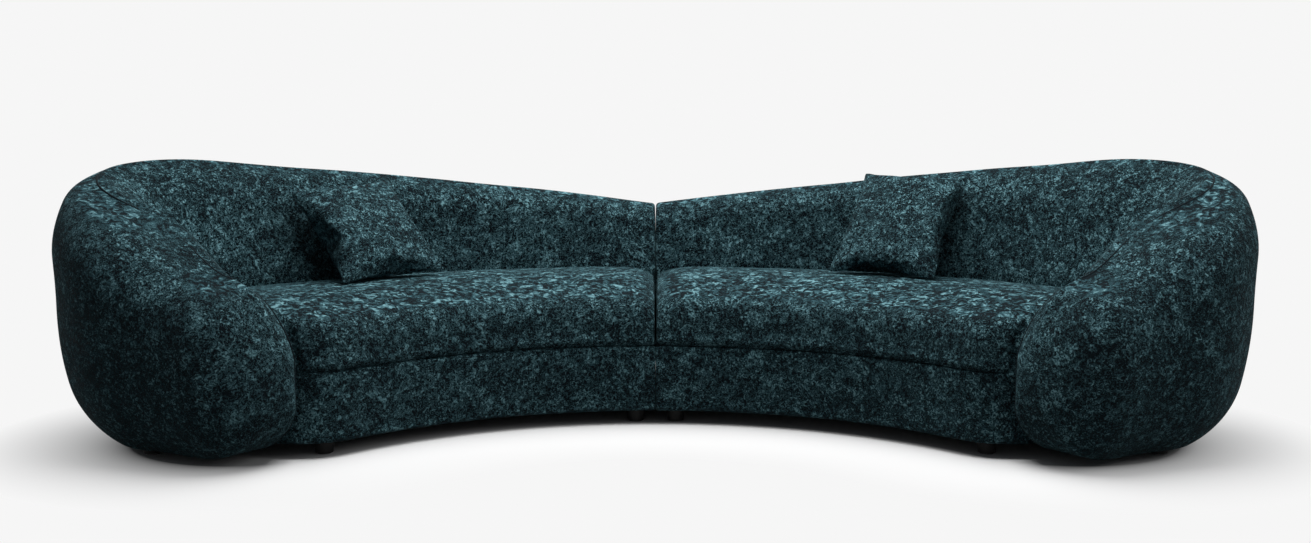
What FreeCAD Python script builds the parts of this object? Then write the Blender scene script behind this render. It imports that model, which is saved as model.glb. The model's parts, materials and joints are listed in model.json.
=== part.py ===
import FreeCAD, Part
import math
import os
import Sketcher
from FreeCAD import Placement, Rotation, Vector

"""Curved two-module sofa with an enclosing back, swollen arm ends and two loose pillows.

The plan is ruled by one ring centre. The seat front and the back's inner face are arcs
about it, and the arm's inner face lies on the ray that ends the seat. Every solid of the
left module is modelled about that ring centre, with the joint between the modules on the
plane X = 0, and is then carried to the footprint's middle. The right module is its mirror.
"""

# Sizes in millimetres and degrees, in the order in which the sofa is laid out.
SIZES = [
    # plan
    ("seat_front_radius", 1153.0),
    ("seat_depth", 632.0),
    ("seat_angle", 53.7),
    ("corner_radius", 150.0),
    ("module_gap", 4.0),
    ("fit_gap", 0.5),
    # heights
    ("foot_height", 45.0),
    ("border_top", 247.0),
    ("seat_edge_height", 398.0),
    ("seat_crown_height", 436.0),
    ("seat_back_height", 414.0),
    ("lean_start", 440.0),
    ("crest_at_joint", 626.0),
    ("crest_at_corner", 811.0),
    ("crest_at_arm", 673.0),
    ("crest_at_nose", 514.0),
    # upholstered wall of the back and arm
    ("wall_at_joint", 240.0),
    ("wall_at_corner", 286.0),
    ("wall_at_arm", 422.0),
    ("wall_at_nose", 351.0),
    ("hem_at_joint", 165.0),
    ("hem_at_corner", 172.0),
    ("hem_at_arm", 273.0),
    ("hem_at_nose", 232.0),
    ("crest_offset", 130.0),
    ("lean_at_joint", 10.0),
    ("lean_at_corner", 17.8),
    ("lean_at_arm", 26.0),
    ("lean_at_nose", 10.0),
    ("fullness_at_joint", 0.79),
    ("fullness_at_corner", 0.854),
    ("fullness_at_arm", 0.854),
    ("fullness_at_nose", 0.79),
    ("belly_share", 0.55),
    ("foam_thickness", 44.0),
    # rounded end of the arm
    ("nose_setback", 177.0),
    ("nose_length", 166.0),
    ("nose_axis_offset", 100.0),
    ("nose_axis_height", 236.0),
    # seat front
    ("border_thickness", 30.0),
    ("border_edge_round", 7.0),
    ("front_ease_span", 7.7),
    ("arm_setback", 66.0),
    ("seat_front_round", 54.0),
    ("seat_end_drop", 46.0),
    ("seat_end_reach", 100.0),
    # frame
    ("panel_thickness", 18.0),
    ("rail_thickness", 25.0),
    ("former_thickness", 18.0),
    ("joint_recess", 12.0),
    ("board_thickness", 6.0),
    ("strap_width", 60.0),
    ("strap_thickness", 2.0),
    ("strap_gap", 10.0),
    ("strap_count", 12.0),
    ("cross_rail_count", 4.0),
    ("dust_cover_thickness", 1.0),
    # feet
    ("foot_top_radius", 30.0),
    ("foot_low_radius", 25.0),
    ("glide_radius", 20.0),
    ("glide_thickness", 3.0),
    ("stud_radius", 4.0),
    ("stud_length", 14.0),
    # connectors between the modules
    ("plate_thickness", 3.0),
    ("plate_width", 74.0),
    ("plate_height", 76.0),
    ("pocket_depth", 4.6),
    ("tongue_width", 28.0),
    ("tongue_length", 26.0),
    ("connector_height", 130.0),
    ("screw_head_radius", 4.0),
    ("screw_radius", 2.0),
    ("screw_length", 15.0),
    # pillows
    ("pillow_side", 400.0),
    ("pillow_thickness", 128.0),
    ("pillow_draw", 13.0),
    ("pillow_edge", 5.0),
    ("cover_thickness", 1.5),
    ("pillow_rest_gap", 0.4),
    ("left_pillow_angle", 34.0),
    ("left_pillow_setback", 310.0),
    ("left_pillow_lean", 42.0),
    ("left_pillow_twist", 10.0),
    ("right_pillow_angle", 28.4),
    ("right_pillow_setback", 295.0),
    ("right_pillow_lean", 37.0),
    ("right_pillow_twist", 11.0),
]

doc = FreeCAD.newDocument("curved_sofa")
sheet = doc.addObject("Spreadsheet::Sheet", "sizes")
for row, (alias, value) in enumerate(SIZES, start=1):
    cell = "B%d" % row
    sheet.set("A%d" % row, alias.replace("_", " "))
    sheet.set(cell, str(value))
    sheet.setAlias(cell, alias)
doc.recompute()


def size(alias):
    """Value of one named size of the sheet."""
    return float(sheet.get(alias))


# Places that follow from the sizes and that several pieces share.
BACK_RADIUS = size("seat_front_radius") + size("seat_depth")
SEAT_END = math.radians(size("seat_angle"))
CORNER_CENTRE_RADIUS = BACK_RADIUS - size("corner_radius")
CORNER_START = SEAT_END - math.asin(size("corner_radius") / CORNER_CENTRE_RADIUS)
CORNER_SWEEP = math.pi / 2 + SEAT_END - CORNER_START
EASE_START = SEAT_END - math.radians(size("front_ease_span"))
NOSE_START = size("seat_front_radius") + size("nose_setback")
ARM_ROOT = math.sqrt(CORNER_CENTRE_RADIUS ** 2 - size("corner_radius") ** 2)
BASE_Z = size("foot_height")
PANEL_TOP = BASE_Z + size("panel_thickness")
RAIL_TOP = size("border_top") - size("strap_thickness")
FIT = size("fit_gap")
TOP_CLEAR = 1200.0

left_parts = []
single_parts = []


def radial(angle):
    """Unit vector from the ring centre, at an angle measured from the joint to the left."""
    return Vector(-math.sin(angle), math.cos(angle), 0)


def polar(radius, angle, height=0.0):
    """Point at a radius and an angle about the ring centre."""
    spoke = radial(angle)
    return Vector(spoke.x * radius, spoke.y * radius, height)


def add_shape(name, shape, keep=left_parts):
    """Hold a computed shape as a document object and list it as a sub-part."""
    feature = doc.addObject("Part::Feature", name)
    feature.Label = name
    feature.Shape = shape
    keep.append(feature)
    return feature


# Curves of the sections: pairs of tangent arcs through given end directions.
def arc_from(start, tangent, end):
    """Arc that leaves start along tangent and reaches end, as start, middle and end points."""
    chord = end - start
    side = Vector(-tangent.y, tangent.x, 0)
    reach = chord.dot(side)
    radius = chord.dot(chord) / (2 * reach)
    centre = start + side * radius
    middle = (start + end) * 0.5 - centre
    middle.normalize()
    return centre + middle * abs(radius)


def biarc(start, start_dir, end, end_dir):
    """Two tangent arcs between two flat points, as (start, middle, end) triples."""
    start_dir = Vector(start_dir).normalize()
    end_dir = Vector(end_dir).normalize()
    chord = end - start
    total = start_dir + end_dir
    bend = 2 * (1 - start_dir.dot(end_dir))
    along = chord.dot(total)
    handle = (math.sqrt(along ** 2 + bend * chord.dot(chord)) - along) / bend
    knee = (start + end + (start_dir - end_dir) * handle) * 0.5
    first = arc_from(start, start_dir, knee)
    second = arc_from(end, end_dir * -1, knee)
    return [(start, first, knee), (knee, second, end)]


def placed_wire(curves, origin, direction, centre=None, scale=1.0):
    """Wire of flat lines and arcs, stood up at origin with its first axis along direction."""
    def lift(point):
        if centre is not None:
            point = centre + (point - centre) * scale
        return origin + direction * point.x + Vector(0, 0, point.y)

    edges = []
    for curve in curves:
        points = [lift(point) for point in curve]
        if len(points) == 2:
            edges.append(Part.LineSegment(points[0], points[1]).toShape())
        else:
            edges.append(Part.Arc(points[0], points[1], points[2]).toShape())
    return Part.Wire(edges)


# Upholstered wall: one section carried from the joint, round the corner, to the arm's nose.
def wall_section(profile, inset):
    """Section of the wall: inner face, rolled crest, full shoulder and tucked-in foot."""
    crest, width, hem_width = profile["crest"], profile["wall"], profile["hem"]
    fullness = profile["fullness"]
    low = BASE_Z - 8.0 if inset else BASE_Z
    lean = math.radians(profile["lean"])
    crest_offset = min(size("crest_offset"), width * 0.5)
    lean_start = min(size("lean_start"), BASE_Z + (crest - BASE_Z) * 0.62)
    foot = Vector(inset, low, 0)
    lean_point = Vector(inset, lean_start, 0)
    top = Vector(crest_offset, crest - inset, 0)
    belly = Vector(width - inset, BASE_Z + (crest - BASE_Z) * size("belly_share"), 0)
    shoulder = Vector(
        top.x + (belly.x - top.x) * fullness,
        belly.y + (top.y - belly.y) * fullness,
        0,
    )
    slope = Vector(belly.x - top.x, belly.y - top.y, 0)
    hem = Vector(hem_width - inset, low, 0)
    across = Vector(1, 0, 0)
    down = Vector(0, -1, 0)
    curves = [(foot, lean_point)]
    curves += biarc(lean_point, Vector(math.sin(lean), math.cos(lean), 0), top, across)
    curves += biarc(top, across, shoulder, slope)
    curves += biarc(shoulder, slope, belly, down)
    curves += biarc(belly, down, hem, Vector(-0.83, -0.56, 0))
    curves.append((hem, foot))
    return curves


def profile_between(start, end, shares):
    """Sizes of the wall's section between two named places, each by its own share of the way."""
    profile = {}
    for name in ("crest", "wall", "hem", "lean", "fullness"):
        share = shares.get(name, shares["hem"])
        profile[name] = size(name + "_at_" + start) * (1 - share) + size(name + "_at_" + end) * share
    return profile


def back_station(share):
    """Origin, direction and section sizes at a share of the way from joint to corner."""
    angle = CORNER_START * share
    late = max(share, 0.0)
    shares = {"crest": 1.13 * share - 0.13 * share ** 2, "wall": late ** 3, "hem": share}
    shares["lean"] = late ** 2
    shares["fullness"] = late ** 3
    return polar(BACK_RADIUS, angle), radial(angle), profile_between("joint", "corner", shares)


def corner_station(share):
    """The same at a share of the turn round the inner corner."""
    angle = CORNER_START + CORNER_SWEEP * share
    pivot = polar(CORNER_CENTRE_RADIUS, CORNER_START)
    profile = profile_between("corner", "arm", {"crest": share ** 2.8, "hem": share})
    return pivot + radial(angle) * size("corner_radius"), radial(angle), profile


def arm_station(share):
    """The same at a share of the straight run from the corner to the start of the nose."""
    reach = ARM_ROOT * (1 - share) + NOSE_START * share
    profile = profile_between("arm", "nose", {"wall": max(share, 0.0) ** 1.5, "hem": share})
    return polar(reach, SEAT_END), radial(SEAT_END + math.pi / 2), profile


BACK_SHARES = (0.125, 0.25, 0.375, 0.5, 0.625, 0.75, 0.875, 1.0)
CORNER_SHARES = (0.25, 0.5, 0.75, 1.0)
NOSE_TURNS = (22.0, 43.0, 62.0, 80.0)


def wall_stations(first, back_shares, arm_share=1.0):
    """Stations of the wall from the joint to the start of the nose."""
    stations = [back_station(share) for share in (first,) + tuple(back_shares)]
    stations += [corner_station(share) for share in CORNER_SHARES]
    stations += [arm_station(share) for share in (0.5 * arm_share, arm_share)]
    return stations


def wall_outside(inset=0.0, first=0.0):
    """Smooth solid of the wall with its rounded nose, drawn in on all sides by inset."""
    stations = wall_stations(first, BACK_SHARES)
    wires = []
    for origin, direction, profile in stations:
        wires.append(placed_wire(wall_section(profile, inset), origin, direction))
    origin, direction, profile = stations[-1]
    centre = Vector(size("nose_axis_offset"), size("nose_axis_height"), 0)
    for turn in NOSE_TURNS:
        turn = math.radians(turn)
        tip = polar(NOSE_START - (size("nose_length") - inset) * math.sin(turn), SEAT_END)
        section = wall_section(profile, inset)
        wires.append(placed_wire(section, tip, direction, centre, math.cos(turn)))
    return Part.makeLoft(wires, True, False)


def wall_inside(inset, arm_share):
    """Room inside the padding, in straight runs from station to station."""
    wires = []
    for origin, direction, profile in wall_stations(-0.012, (0.25, 0.5, 0.75, 1.0), arm_share):
        wires.append(placed_wire(wall_section(profile, inset), origin, direction))
    return Part.makeLoft(wires, True, True)


# Seat: radial sections whose front follows the ring and eases back to meet the arm.
def front_radius(angle):
    """Radius of the seat front, which eases outwards near the arm."""
    start = EASE_START
    ease = max(0.0, (angle - start) / (SEAT_END - start))
    return size("seat_front_radius") + size("arm_setback") * ease ** 3


def seat_top_drop(distance):
    """How far the cushion's top falls at a distance from the joint, as a rounded corner."""
    reach = size("seat_end_reach")
    if distance >= reach:
        return 0.0
    return size("seat_end_drop") * (1 - math.sqrt(1 - (1 - distance / reach) ** 2))


def cushion_section(angle, distance):
    """Radial section of the seat cushion with a bulged face, round edge and crowned top."""
    front = front_radius(angle) + 0.2 * seat_top_drop(distance)
    drop = seat_top_drop(distance)
    low = size("border_top") + FIT
    edge_z = size("seat_edge_height") - drop
    crown_z = size("seat_crown_height") - drop
    rear = BACK_RADIUS + 30.0
    foot = Vector(front + 5, low, 0)
    face = Vector(front, low + (edge_z - low) * 0.42, 0)
    edge = Vector(front + size("seat_front_round"), edge_z, 0)
    crown = Vector(size("seat_front_radius") + size("seat_depth") * 0.5, crown_z, 0)
    back = Vector(rear, size("seat_back_height") - drop, 0)
    rear_foot = Vector(rear, low, 0)
    curves = biarc(foot, Vector(-0.2, 1, 0), face, Vector(0, 1, 0))
    curves += biarc(face, Vector(0, 1, 0), edge, Vector(1, 0.25, 0))
    curves += biarc(edge, Vector(1, 0.25, 0), crown, Vector(1, 0, 0))
    curves += biarc(crown, Vector(1, 0, 0), back, Vector(1, -0.14, 0))
    curves += [(back, rear_foot), (rear_foot, foot)]
    return curves


def border_section(angle):
    """Radial section of the padded border under the seat."""
    front = front_radius(angle)
    rear = front + size("border_thickness")
    soft = size("border_edge_round")
    low = BASE_Z
    high = size("border_top")
    bend = soft * (1 - math.sqrt(0.5))
    return [
        (Vector(rear, low, 0), Vector(rear, high, 0)),
        (Vector(rear, high, 0), Vector(front + soft, high, 0)),
        (Vector(front + soft, high, 0), Vector(front + bend, high - bend, 0), Vector(front, high - soft, 0)),
        (Vector(front, high - soft, 0), Vector(front, low + soft, 0)),
        (Vector(front, low + soft, 0), Vector(front + bend, low + bend, 0), Vector(front + soft, low, 0)),
        (Vector(front + soft, low, 0), Vector(rear, low, 0)),
    ]


def eased_angles():
    """Angles of the sections where the front eases back, carried on past the arm's face."""
    start = EASE_START
    step = (SEAT_END - start) / 3
    return [start + step * index for index in range(5)]


def cushion_angles():
    """Angles of the cushion's sections: a few at the rounded joint end, then even steps."""
    middle_radius = size("seat_front_radius") + size("seat_depth") / 2
    angles = [size("seat_end_reach") * share / middle_radius for share in (0.0, 0.06, 0.22, 0.5, 1.0)]
    start = EASE_START
    steps = 5
    for index in range(1, steps):
        angles.append(angles[4] + (start - angles[4]) * index / steps)
    return angles + eased_angles()


def middle_of(shape):
    """Middle of a shape along Y, from points on its faces."""
    along = [point.y for point in shape.tessellate(1.0)[0]]
    return (min(along) + max(along)) / 2


def largest_solid(shape):
    """The largest solid of a cut shape."""
    return max(shape.Solids, key=lambda solid: solid.Volume)


arm_with_gap = wall_outside(inset=-FIT, first=-0.012)

cushion_wires = []
for angle in cushion_angles():
    distance = angle * (size("seat_front_radius") + size("seat_depth") / 2)
    section = cushion_section(angle, distance)
    cushion_wires.append(placed_wire(section, Vector(0, 0, 0), radial(angle)))
cushion = Part.makeLoft(cushion_wires, True, False).cut(arm_with_gap)

border_start = Part.Face(placed_wire(border_section(0.0), Vector(0, 0, 0), radial(0.0)))
border = border_start.revolve(Vector(0, 0, 0), Vector(0, 0, 1), math.degrees(EASE_START))
border_wires = []
for angle in eased_angles():
    border_wires.append(placed_wire(border_section(angle), Vector(0, 0, 0), radial(angle)))
border = border.fuse(Part.makeLoft(border_wires, True, False)).cut(arm_with_gap).removeSplitter()

# Base panel: the seat's ring sector, a strip under the arm's inner face, and the wall's foot.
def slab(shape_height, low):
    """Wide flat box between two heights."""
    return Part.makeBox(6000, 6000, shape_height, Vector(-3000, -3000, low))


def seat_floor(clearance, low, high):
    """Floor area of the seat out to the wall's cavity, between two heights."""
    offset = size("border_thickness") + 2 * FIT - clearance
    first = FIT / BACK_RADIUS
    eased = eased_angles()[:-1]
    middle = (first + eased[0]) / 2
    near = [polar(size("seat_front_radius") + offset, angle, low) for angle in (first, middle, eased[0])]
    curve = Part.BSplineCurve()
    curve.interpolate([polar(front_radius(angle) + offset, angle, low) for angle in eased])
    far_radius = BACK_RADIUS + size("foam_thickness") + 10 * FIT + clearance
    far = [polar(far_radius, angle, low) for angle in (first, middle, eased[-1])]
    edges = [
        Part.Arc(near[0], near[1], near[2]).toShape(),
        curve.toShape(),
        Part.LineSegment(curve.EndPoint, far[2]).toShape(),
        Part.Arc(far[2], far[1], far[0]).toShape(),
        Part.LineSegment(far[0], near[0]).toShape(),
    ]
    sector = Part.Face(Part.Wire(edges)).extrude(Vector(0, 0, high - low))
    strip = Part.makeBox(
        ARM_ROOT - NOSE_START + clearance,
        size("foam_thickness") + 8 * FIT + 40.0,
        high - low,
    )
    strip.Placement = Placement(
        polar(NOSE_START - clearance, SEAT_END, low) - radial(SEAT_END + math.pi / 2) * 40.0,
        Rotation(Vector(0, 0, 1), 90 + size("seat_angle")),
    )
    return sector.fuse(strip)


FRAME_SPACE = wall_inside(size("foam_thickness") + 2 * FIT, 0.97)

wall = wall_outside().cut(wall_inside(size("foam_thickness"), 1.0))
wall = wall.cut(slab(80.0, BASE_Z - 80.0))
wall = wall.cut(seat_floor(2 * FIT, BASE_Z - 20.0, PANEL_TOP + FIT))
add_shape("left_back_and_arm", largest_solid(wall))
add_shape("left_seat_cushion", largest_solid(cushion))
add_shape("left_front_border", largest_solid(border))


def foot_places():
    """Centres of the feet: two at the joint, one behind the curve and three round the arm."""
    front = size("seat_front_radius") + size("border_thickness") + size("foot_top_radius") + 15.0
    rear = BACK_RADIUS + size("foam_thickness") + 40.0
    inner = 60.0 / front
    arm_side = radial(SEAT_END + math.pi / 2)
    corner, outward = corner_station(0.5)[:2]
    return [
        polar(front, inner),
        polar(rear, 60.0 / rear),
        polar(rear, CORNER_START * 0.55),
        polar(front + 14.0, math.radians(size("seat_angle") - 4.4)),
        polar(ARM_ROOT, SEAT_END) + arm_side * (size("hem_at_arm") - size("foam_thickness") - size("foot_top_radius") - 2.0),
        corner + outward * 120.0,
    ]


floor_panel = FRAME_SPACE.common(slab(size("panel_thickness"), BASE_Z))
floor_panel = floor_panel.fuse(seat_floor(0.0, BASE_Z, PANEL_TOP))
beyond_joint = Part.makeBox(200, 6000, 400, Vector(-FIT, -3000, -50))
floor_panel = floor_panel.cut(beyond_joint).removeSplitter()
dust = floor_panel.copy()
dust.translate(Vector(0, 0, -size("panel_thickness")))
dust = dust.common(slab(size("dust_cover_thickness"), BASE_Z - size("dust_cover_thickness")))
for place in foot_places():
    hole = Part.makeCylinder(size("stud_radius") + 0.3, 60, place)
    hole.translate(Vector(0, 0, BASE_Z - 20.0))
    floor_panel = floor_panel.cut(hole)
    dust = dust.cut(hole)
add_shape("left_base_panel", largest_solid(floor_panel))
add_shape("left_dust_cover", largest_solid(dust))

# Formers: plywood ribs that fill the wall's cavity from the base panel to the crest.
joint_share = (size("joint_recess") + size("former_thickness") / 2) / (BACK_RADIUS * CORNER_START)
former_stations = [back_station(share) for share in (joint_share, 0.2, 0.4, 0.6, 0.8, 1.0)]
former_stations += [corner_station(0.5), arm_station(0.12), arm_station(0.85)]
formers = []
board_back = size("foam_thickness") + FIT + size("board_thickness") + 0.3
for origin, direction in [station[:2] for station in former_stations]:
    plate = Part.makeBox(1000, size("former_thickness"), TOP_CLEAR, Vector(0, -size("former_thickness") / 2, 0))
    turn = math.degrees(math.atan2(direction.y, direction.x))
    plate.Placement = Placement(
        origin + direction * board_back + Vector(0, 0, PANEL_TOP),
        Rotation(Vector(0, 0, 1), turn),
    )
    formers.append(largest_solid(FRAME_SPACE.common(plate)))
add_shape("left_formers", Part.makeCompound(formers))


# Pieces made as bodies of sketches bound to the sheet.
def origin_feature(body, role):
    """Plane or axis of a body's own origin."""
    for feature in body.Origin.OriginFeatures:
        if feature.Role == role:
            return feature
    raise ValueError("no origin feature " + role)


def new_sketch(body, name, role, offset=None):
    """Sketch on an origin plane of the body, lifted off it by a sheet expression."""
    sketch = body.newObject("Sketcher::SketchObject", name)
    sketch.AttachmentSupport = (origin_feature(body, role), [""])
    sketch.MapMode = "FlatFace"
    if offset is not None:
        sketch.setExpression(".AttachmentOffset.Base.z", offset)
    return sketch


def closed_profile(sketch, columns, rows, corners):
    """Closed outline through corners given by a column and a row, each a sheet expression."""
    column_names = list(columns)
    row_names = list(rows)
    points = []
    for column, row in corners:
        points.append(Vector(1.0 + column_names.index(column), 1.0 + row_names.index(row), 0))
    count = len(points)
    for index in range(count):
        sketch.addGeometry(Part.LineSegment(points[index], points[(index + 1) % count]), False)
    for index in range(count):
        sketch.addConstraint(Sketcher.Constraint("Coincident", index, 2, (index + 1) % count, 1))
    for index, (column, row) in enumerate(corners):
        for kind, name, table, value in (
            ("DistanceX", column, columns, points[index].x),
            ("DistanceY", row, rows, points[index].y),
        ):
            number = sketch.addConstraint(Sketcher.Constraint(kind, -1, 1, index, 1, value))
            label = "%s_%d" % (name, index)
            sketch.renameConstraint(number, label)
            sketch.setExpression("Constraints." + label, table[name])
    return sketch


def new_body(name, keep=None):
    """Body with its label, listed as a sub-part where keep is given."""
    body = doc.addObject("PartDesign::Body", name)
    body.Label = name
    if keep is not None:
        keep.append(body)
    return body


def ring_rail(name, inner, thickness, low, high, sweep):
    """Curved rail of rectangular section, turned about the ring centre."""
    body = new_body(name, left_parts)
    columns = {"inner": inner, "outer": "%s + %s" % (inner, thickness)}
    rows = {"low": low, "high": high}
    sketch = new_sketch(body, name + "_profile", "YZ_Plane")
    corners = [("inner", "low"), ("outer", "low"), ("outer", "high"), ("inner", "high")]
    closed_profile(sketch, columns, rows, corners)
    turned = body.newObject("PartDesign::Revolution", name + "_turn")
    turned.Profile = sketch
    turned.ReferenceAxis = (sketch, ["V_Axis"])
    turned.setExpression("Angle", sweep)
    sketch.Visibility = False
    return body


PANEL_TOP_TEXT = "sizes.foot_height + sizes.panel_thickness"
EASE_TEXT = "sizes.seat_angle - sizes.front_ease_span"
RAIL_TOP_TEXT = "sizes.border_top - sizes.strap_thickness"
FRONT_RAIL_TEXT = "sizes.seat_front_radius + sizes.border_thickness + sizes.fit_gap"
REAR_RAIL_TEXT = "sizes.seat_front_radius + sizes.seat_depth - sizes.rail_thickness - 5"
BOARD_TEXT = "sizes.seat_front_radius + sizes.seat_depth + sizes.foam_thickness + sizes.fit_gap"
joint_turn = math.degrees(size("joint_recess") / size("seat_front_radius"))

front_rail = ring_rail(
    "left_front_rail", FRONT_RAIL_TEXT, "sizes.rail_thickness",
    PANEL_TOP_TEXT, RAIL_TOP_TEXT, EASE_TEXT + " - 0.6",
)
rear_rail = ring_rail(
    "left_rear_rail", REAR_RAIL_TEXT, "sizes.rail_thickness",
    PANEL_TOP_TEXT, RAIL_TOP_TEXT, EASE_TEXT + " - 0.6",
)
back_board = ring_rail(
    "left_back_board", BOARD_TEXT, "sizes.board_thickness",
    PANEL_TOP_TEXT, "sizes.lean_start - 12", EASE_TEXT,
)
for body in (front_rail, rear_rail, back_board):
    body.Placement = Placement(Vector(0, 0, 0), Rotation(Vector(0, 0, 1), joint_turn))


# Radial planks between the rails, repeated round the ring.
cross_body = new_body("left_cross_rails", left_parts)
cross_sketch = new_sketch(cross_body, "cross_rail_side", "YZ_Plane")
closed_profile(
    cross_sketch,
    {"near": FRONT_RAIL_TEXT + " + sizes.rail_thickness + 0.2", "far": REAR_RAIL_TEXT + " - 0.3"},
    {"low": PANEL_TOP_TEXT, "high": RAIL_TOP_TEXT},
    [("near", "low"), ("far", "low"), ("far", "high"), ("near", "high")],
)
cross_pad = cross_body.newObject("PartDesign::Pad", "cross_rail_pad")
cross_pad.Profile = cross_sketch
cross_pad.setExpression("Length", "sizes.former_thickness")
cross_first = 12.0
cross_pattern = cross_body.newObject("PartDesign::PolarPattern", "cross_rail_ring")
cross_pattern.Originals = [cross_pad]
cross_pattern.Axis = (origin_feature(cross_body, "Z_Axis"), [""])
cross_pattern.setExpression("Occurrences", "sizes.cross_rail_count")
cross_pattern.setExpression("Angle", EASE_TEXT + " - %g" % cross_first)
cross_body.Tip = cross_pattern
cross_body.Placement = Placement(Vector(0, 0, 0), Rotation(Vector(0, 0, 1), cross_first))

# Elastic straps that carry the seat cushion, laid over both rails.
strap_body = new_body("left_straps", left_parts)
strap_first = 5.4
STRAP_SWEEP_TEXT = EASE_TEXT + " - %g" % (strap_first + 0.4)
STRAP_PITCH_TEXT = "(%s) * (%s) * pi / 180 / (sizes.strap_count - 1)" % (STRAP_SWEEP_TEXT, FRONT_RAIL_TEXT)
strap_sketch = new_sketch(strap_body, "strap_plan", "XY_Plane", RAIL_TOP_TEXT)
closed_profile(
    strap_sketch,
    {"right": "0.01", "left": "min(sizes.strap_width; %s - sizes.strap_gap)" % STRAP_PITCH_TEXT},
    {"near": FRONT_RAIL_TEXT + " + 1", "far": REAR_RAIL_TEXT + " + sizes.rail_thickness - 1"},
    [("right", "near"), ("left", "near"), ("left", "far"), ("right", "far")],
)
strap_pad = strap_body.newObject("PartDesign::Pad", "strap_pad")
strap_pad.Profile = strap_sketch
strap_pad.setExpression("Length", "sizes.strap_thickness")
strap_pattern = strap_body.newObject("PartDesign::PolarPattern", "strap_ring")
strap_pattern.Originals = [strap_pad]
strap_pattern.Axis = (origin_feature(strap_body, "Z_Axis"), [""])
strap_pattern.setExpression("Occurrences", "sizes.strap_count")
strap_pattern.setExpression("Angle", STRAP_SWEEP_TEXT)
strap_body.Tip = strap_pattern
strap_body.Placement = Placement(Vector(0, 0, 0), Rotation(Vector(0, 0, 1), strap_first))

# Foot: a tapered black turning with the stud that screws into the base panel.
foot_body = new_body("foot")
foot_sketch = new_sketch(foot_body, "foot_profile", "XZ_Plane")
closed_profile(
    foot_sketch,
    {"axis": "0", "stud": "sizes.stud_radius", "low": "sizes.foot_low_radius", "top": "sizes.foot_top_radius"},
    {
        "ground": "sizes.glide_thickness",
        "under": "sizes.foot_height - sizes.dust_cover_thickness",
        "tip": "sizes.foot_height + sizes.stud_length",
    },
    [("axis", "ground"), ("low", "ground"), ("top", "under"), ("stud", "under"), ("stud", "tip"), ("axis", "tip")],
)
foot_turn = foot_body.newObject("PartDesign::Revolution", "foot_turning")
foot_turn.Profile = foot_sketch
foot_turn.ReferenceAxis = (foot_sketch, ["V_Axis"])
foot_turn.Angle = 360
glide = doc.addObject("Part::Cylinder", "glide")
glide.setExpression("Radius", "sizes.glide_radius")
glide.setExpression("Height", "sizes.glide_thickness")

# Connector socket: a plate with a bridge that leaves a pocket open at the top.
def centred_pad(body, name, width, height, middle, depth, offset=None):
    """Pad of a rectangle centred across the body and at a height, out of the YZ plane."""
    sketch = new_sketch(body, name + "_outline", "YZ_Plane", offset)
    corners = [(-2, 1), (2, 1), (2, 3), (-2, 3)]
    points = [Vector(x, y, 0) for x, y in corners]
    for index in range(4):
        sketch.addGeometry(Part.LineSegment(points[index], points[(index + 1) % 4]), False)
    for index in range(4):
        sketch.addConstraint(Sketcher.Constraint("Coincident", index, 2, (index + 1) % 4, 1))
    sketch.addConstraint(Sketcher.Constraint("Vertical", 1))
    sketch.addConstraint(Sketcher.Constraint("Vertical", 3))
    sketch.addConstraint(Sketcher.Constraint("Horizontal", 2))
    sketch.addConstraint(Sketcher.Constraint("Symmetric", 0, 1, 0, 2, -2))
    number = sketch.addConstraint(Sketcher.Constraint("DistanceX", 0, 1, 0, 2, 4.0))
    sketch.renameConstraint(number, "width")
    number = sketch.addConstraint(Sketcher.Constraint("DistanceY", 1, 1, 1, 2, 2.0))
    sketch.renameConstraint(number, "tall")
    number = sketch.addConstraint(Sketcher.Constraint("DistanceY", -1, 1, 0, 1, 1.0))
    sketch.renameConstraint(number, "low")
    sketch.setExpression("Constraints.width", width)
    sketch.setExpression("Constraints.tall", height)
    sketch.setExpression("Constraints.low", "%s - (%s) / 2" % (middle, height))
    pad = body.newObject("PartDesign::Pad", name)
    pad.Profile = sketch
    pad.setExpression("Length", depth)
    return pad


HALF_PLATE = "sizes.plate_height / 2"
BRIDGE_TALL = "%s - 8" % HALF_PLATE
socket_body = new_body("connector_socket")
centred_pad(socket_body, "socket_plate", "sizes.plate_width", "sizes.plate_height",
            "sizes.connector_height", "sizes.plate_thickness")
centred_pad(socket_body, "socket_bridge", "sizes.tongue_width + 16", BRIDGE_TALL,
            "sizes.connector_height - %s / 2 - 2" % HALF_PLATE,
            "2 * sizes.plate_thickness + sizes.pocket_depth")
doc.recompute()
pocket_sketch = new_sketch(socket_body, "socket_pocket_plan", "XY_Plane")
closed_profile(
    pocket_sketch,
    {"plate": "sizes.plate_thickness", "bridge": "sizes.plate_thickness + sizes.pocket_depth"},
    {"right": "-sizes.tongue_width / 2 - 2", "left": "sizes.tongue_width / 2 + 2"},
    [("plate", "right"), ("bridge", "right"), ("bridge", "left"), ("plate", "left")],
)
pocket = socket_body.newObject("PartDesign::Pocket", "socket_pocket")
pocket.Profile = pocket_sketch
pocket.Length = 1000
pocket.Midplane = True
doc.recompute()

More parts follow.
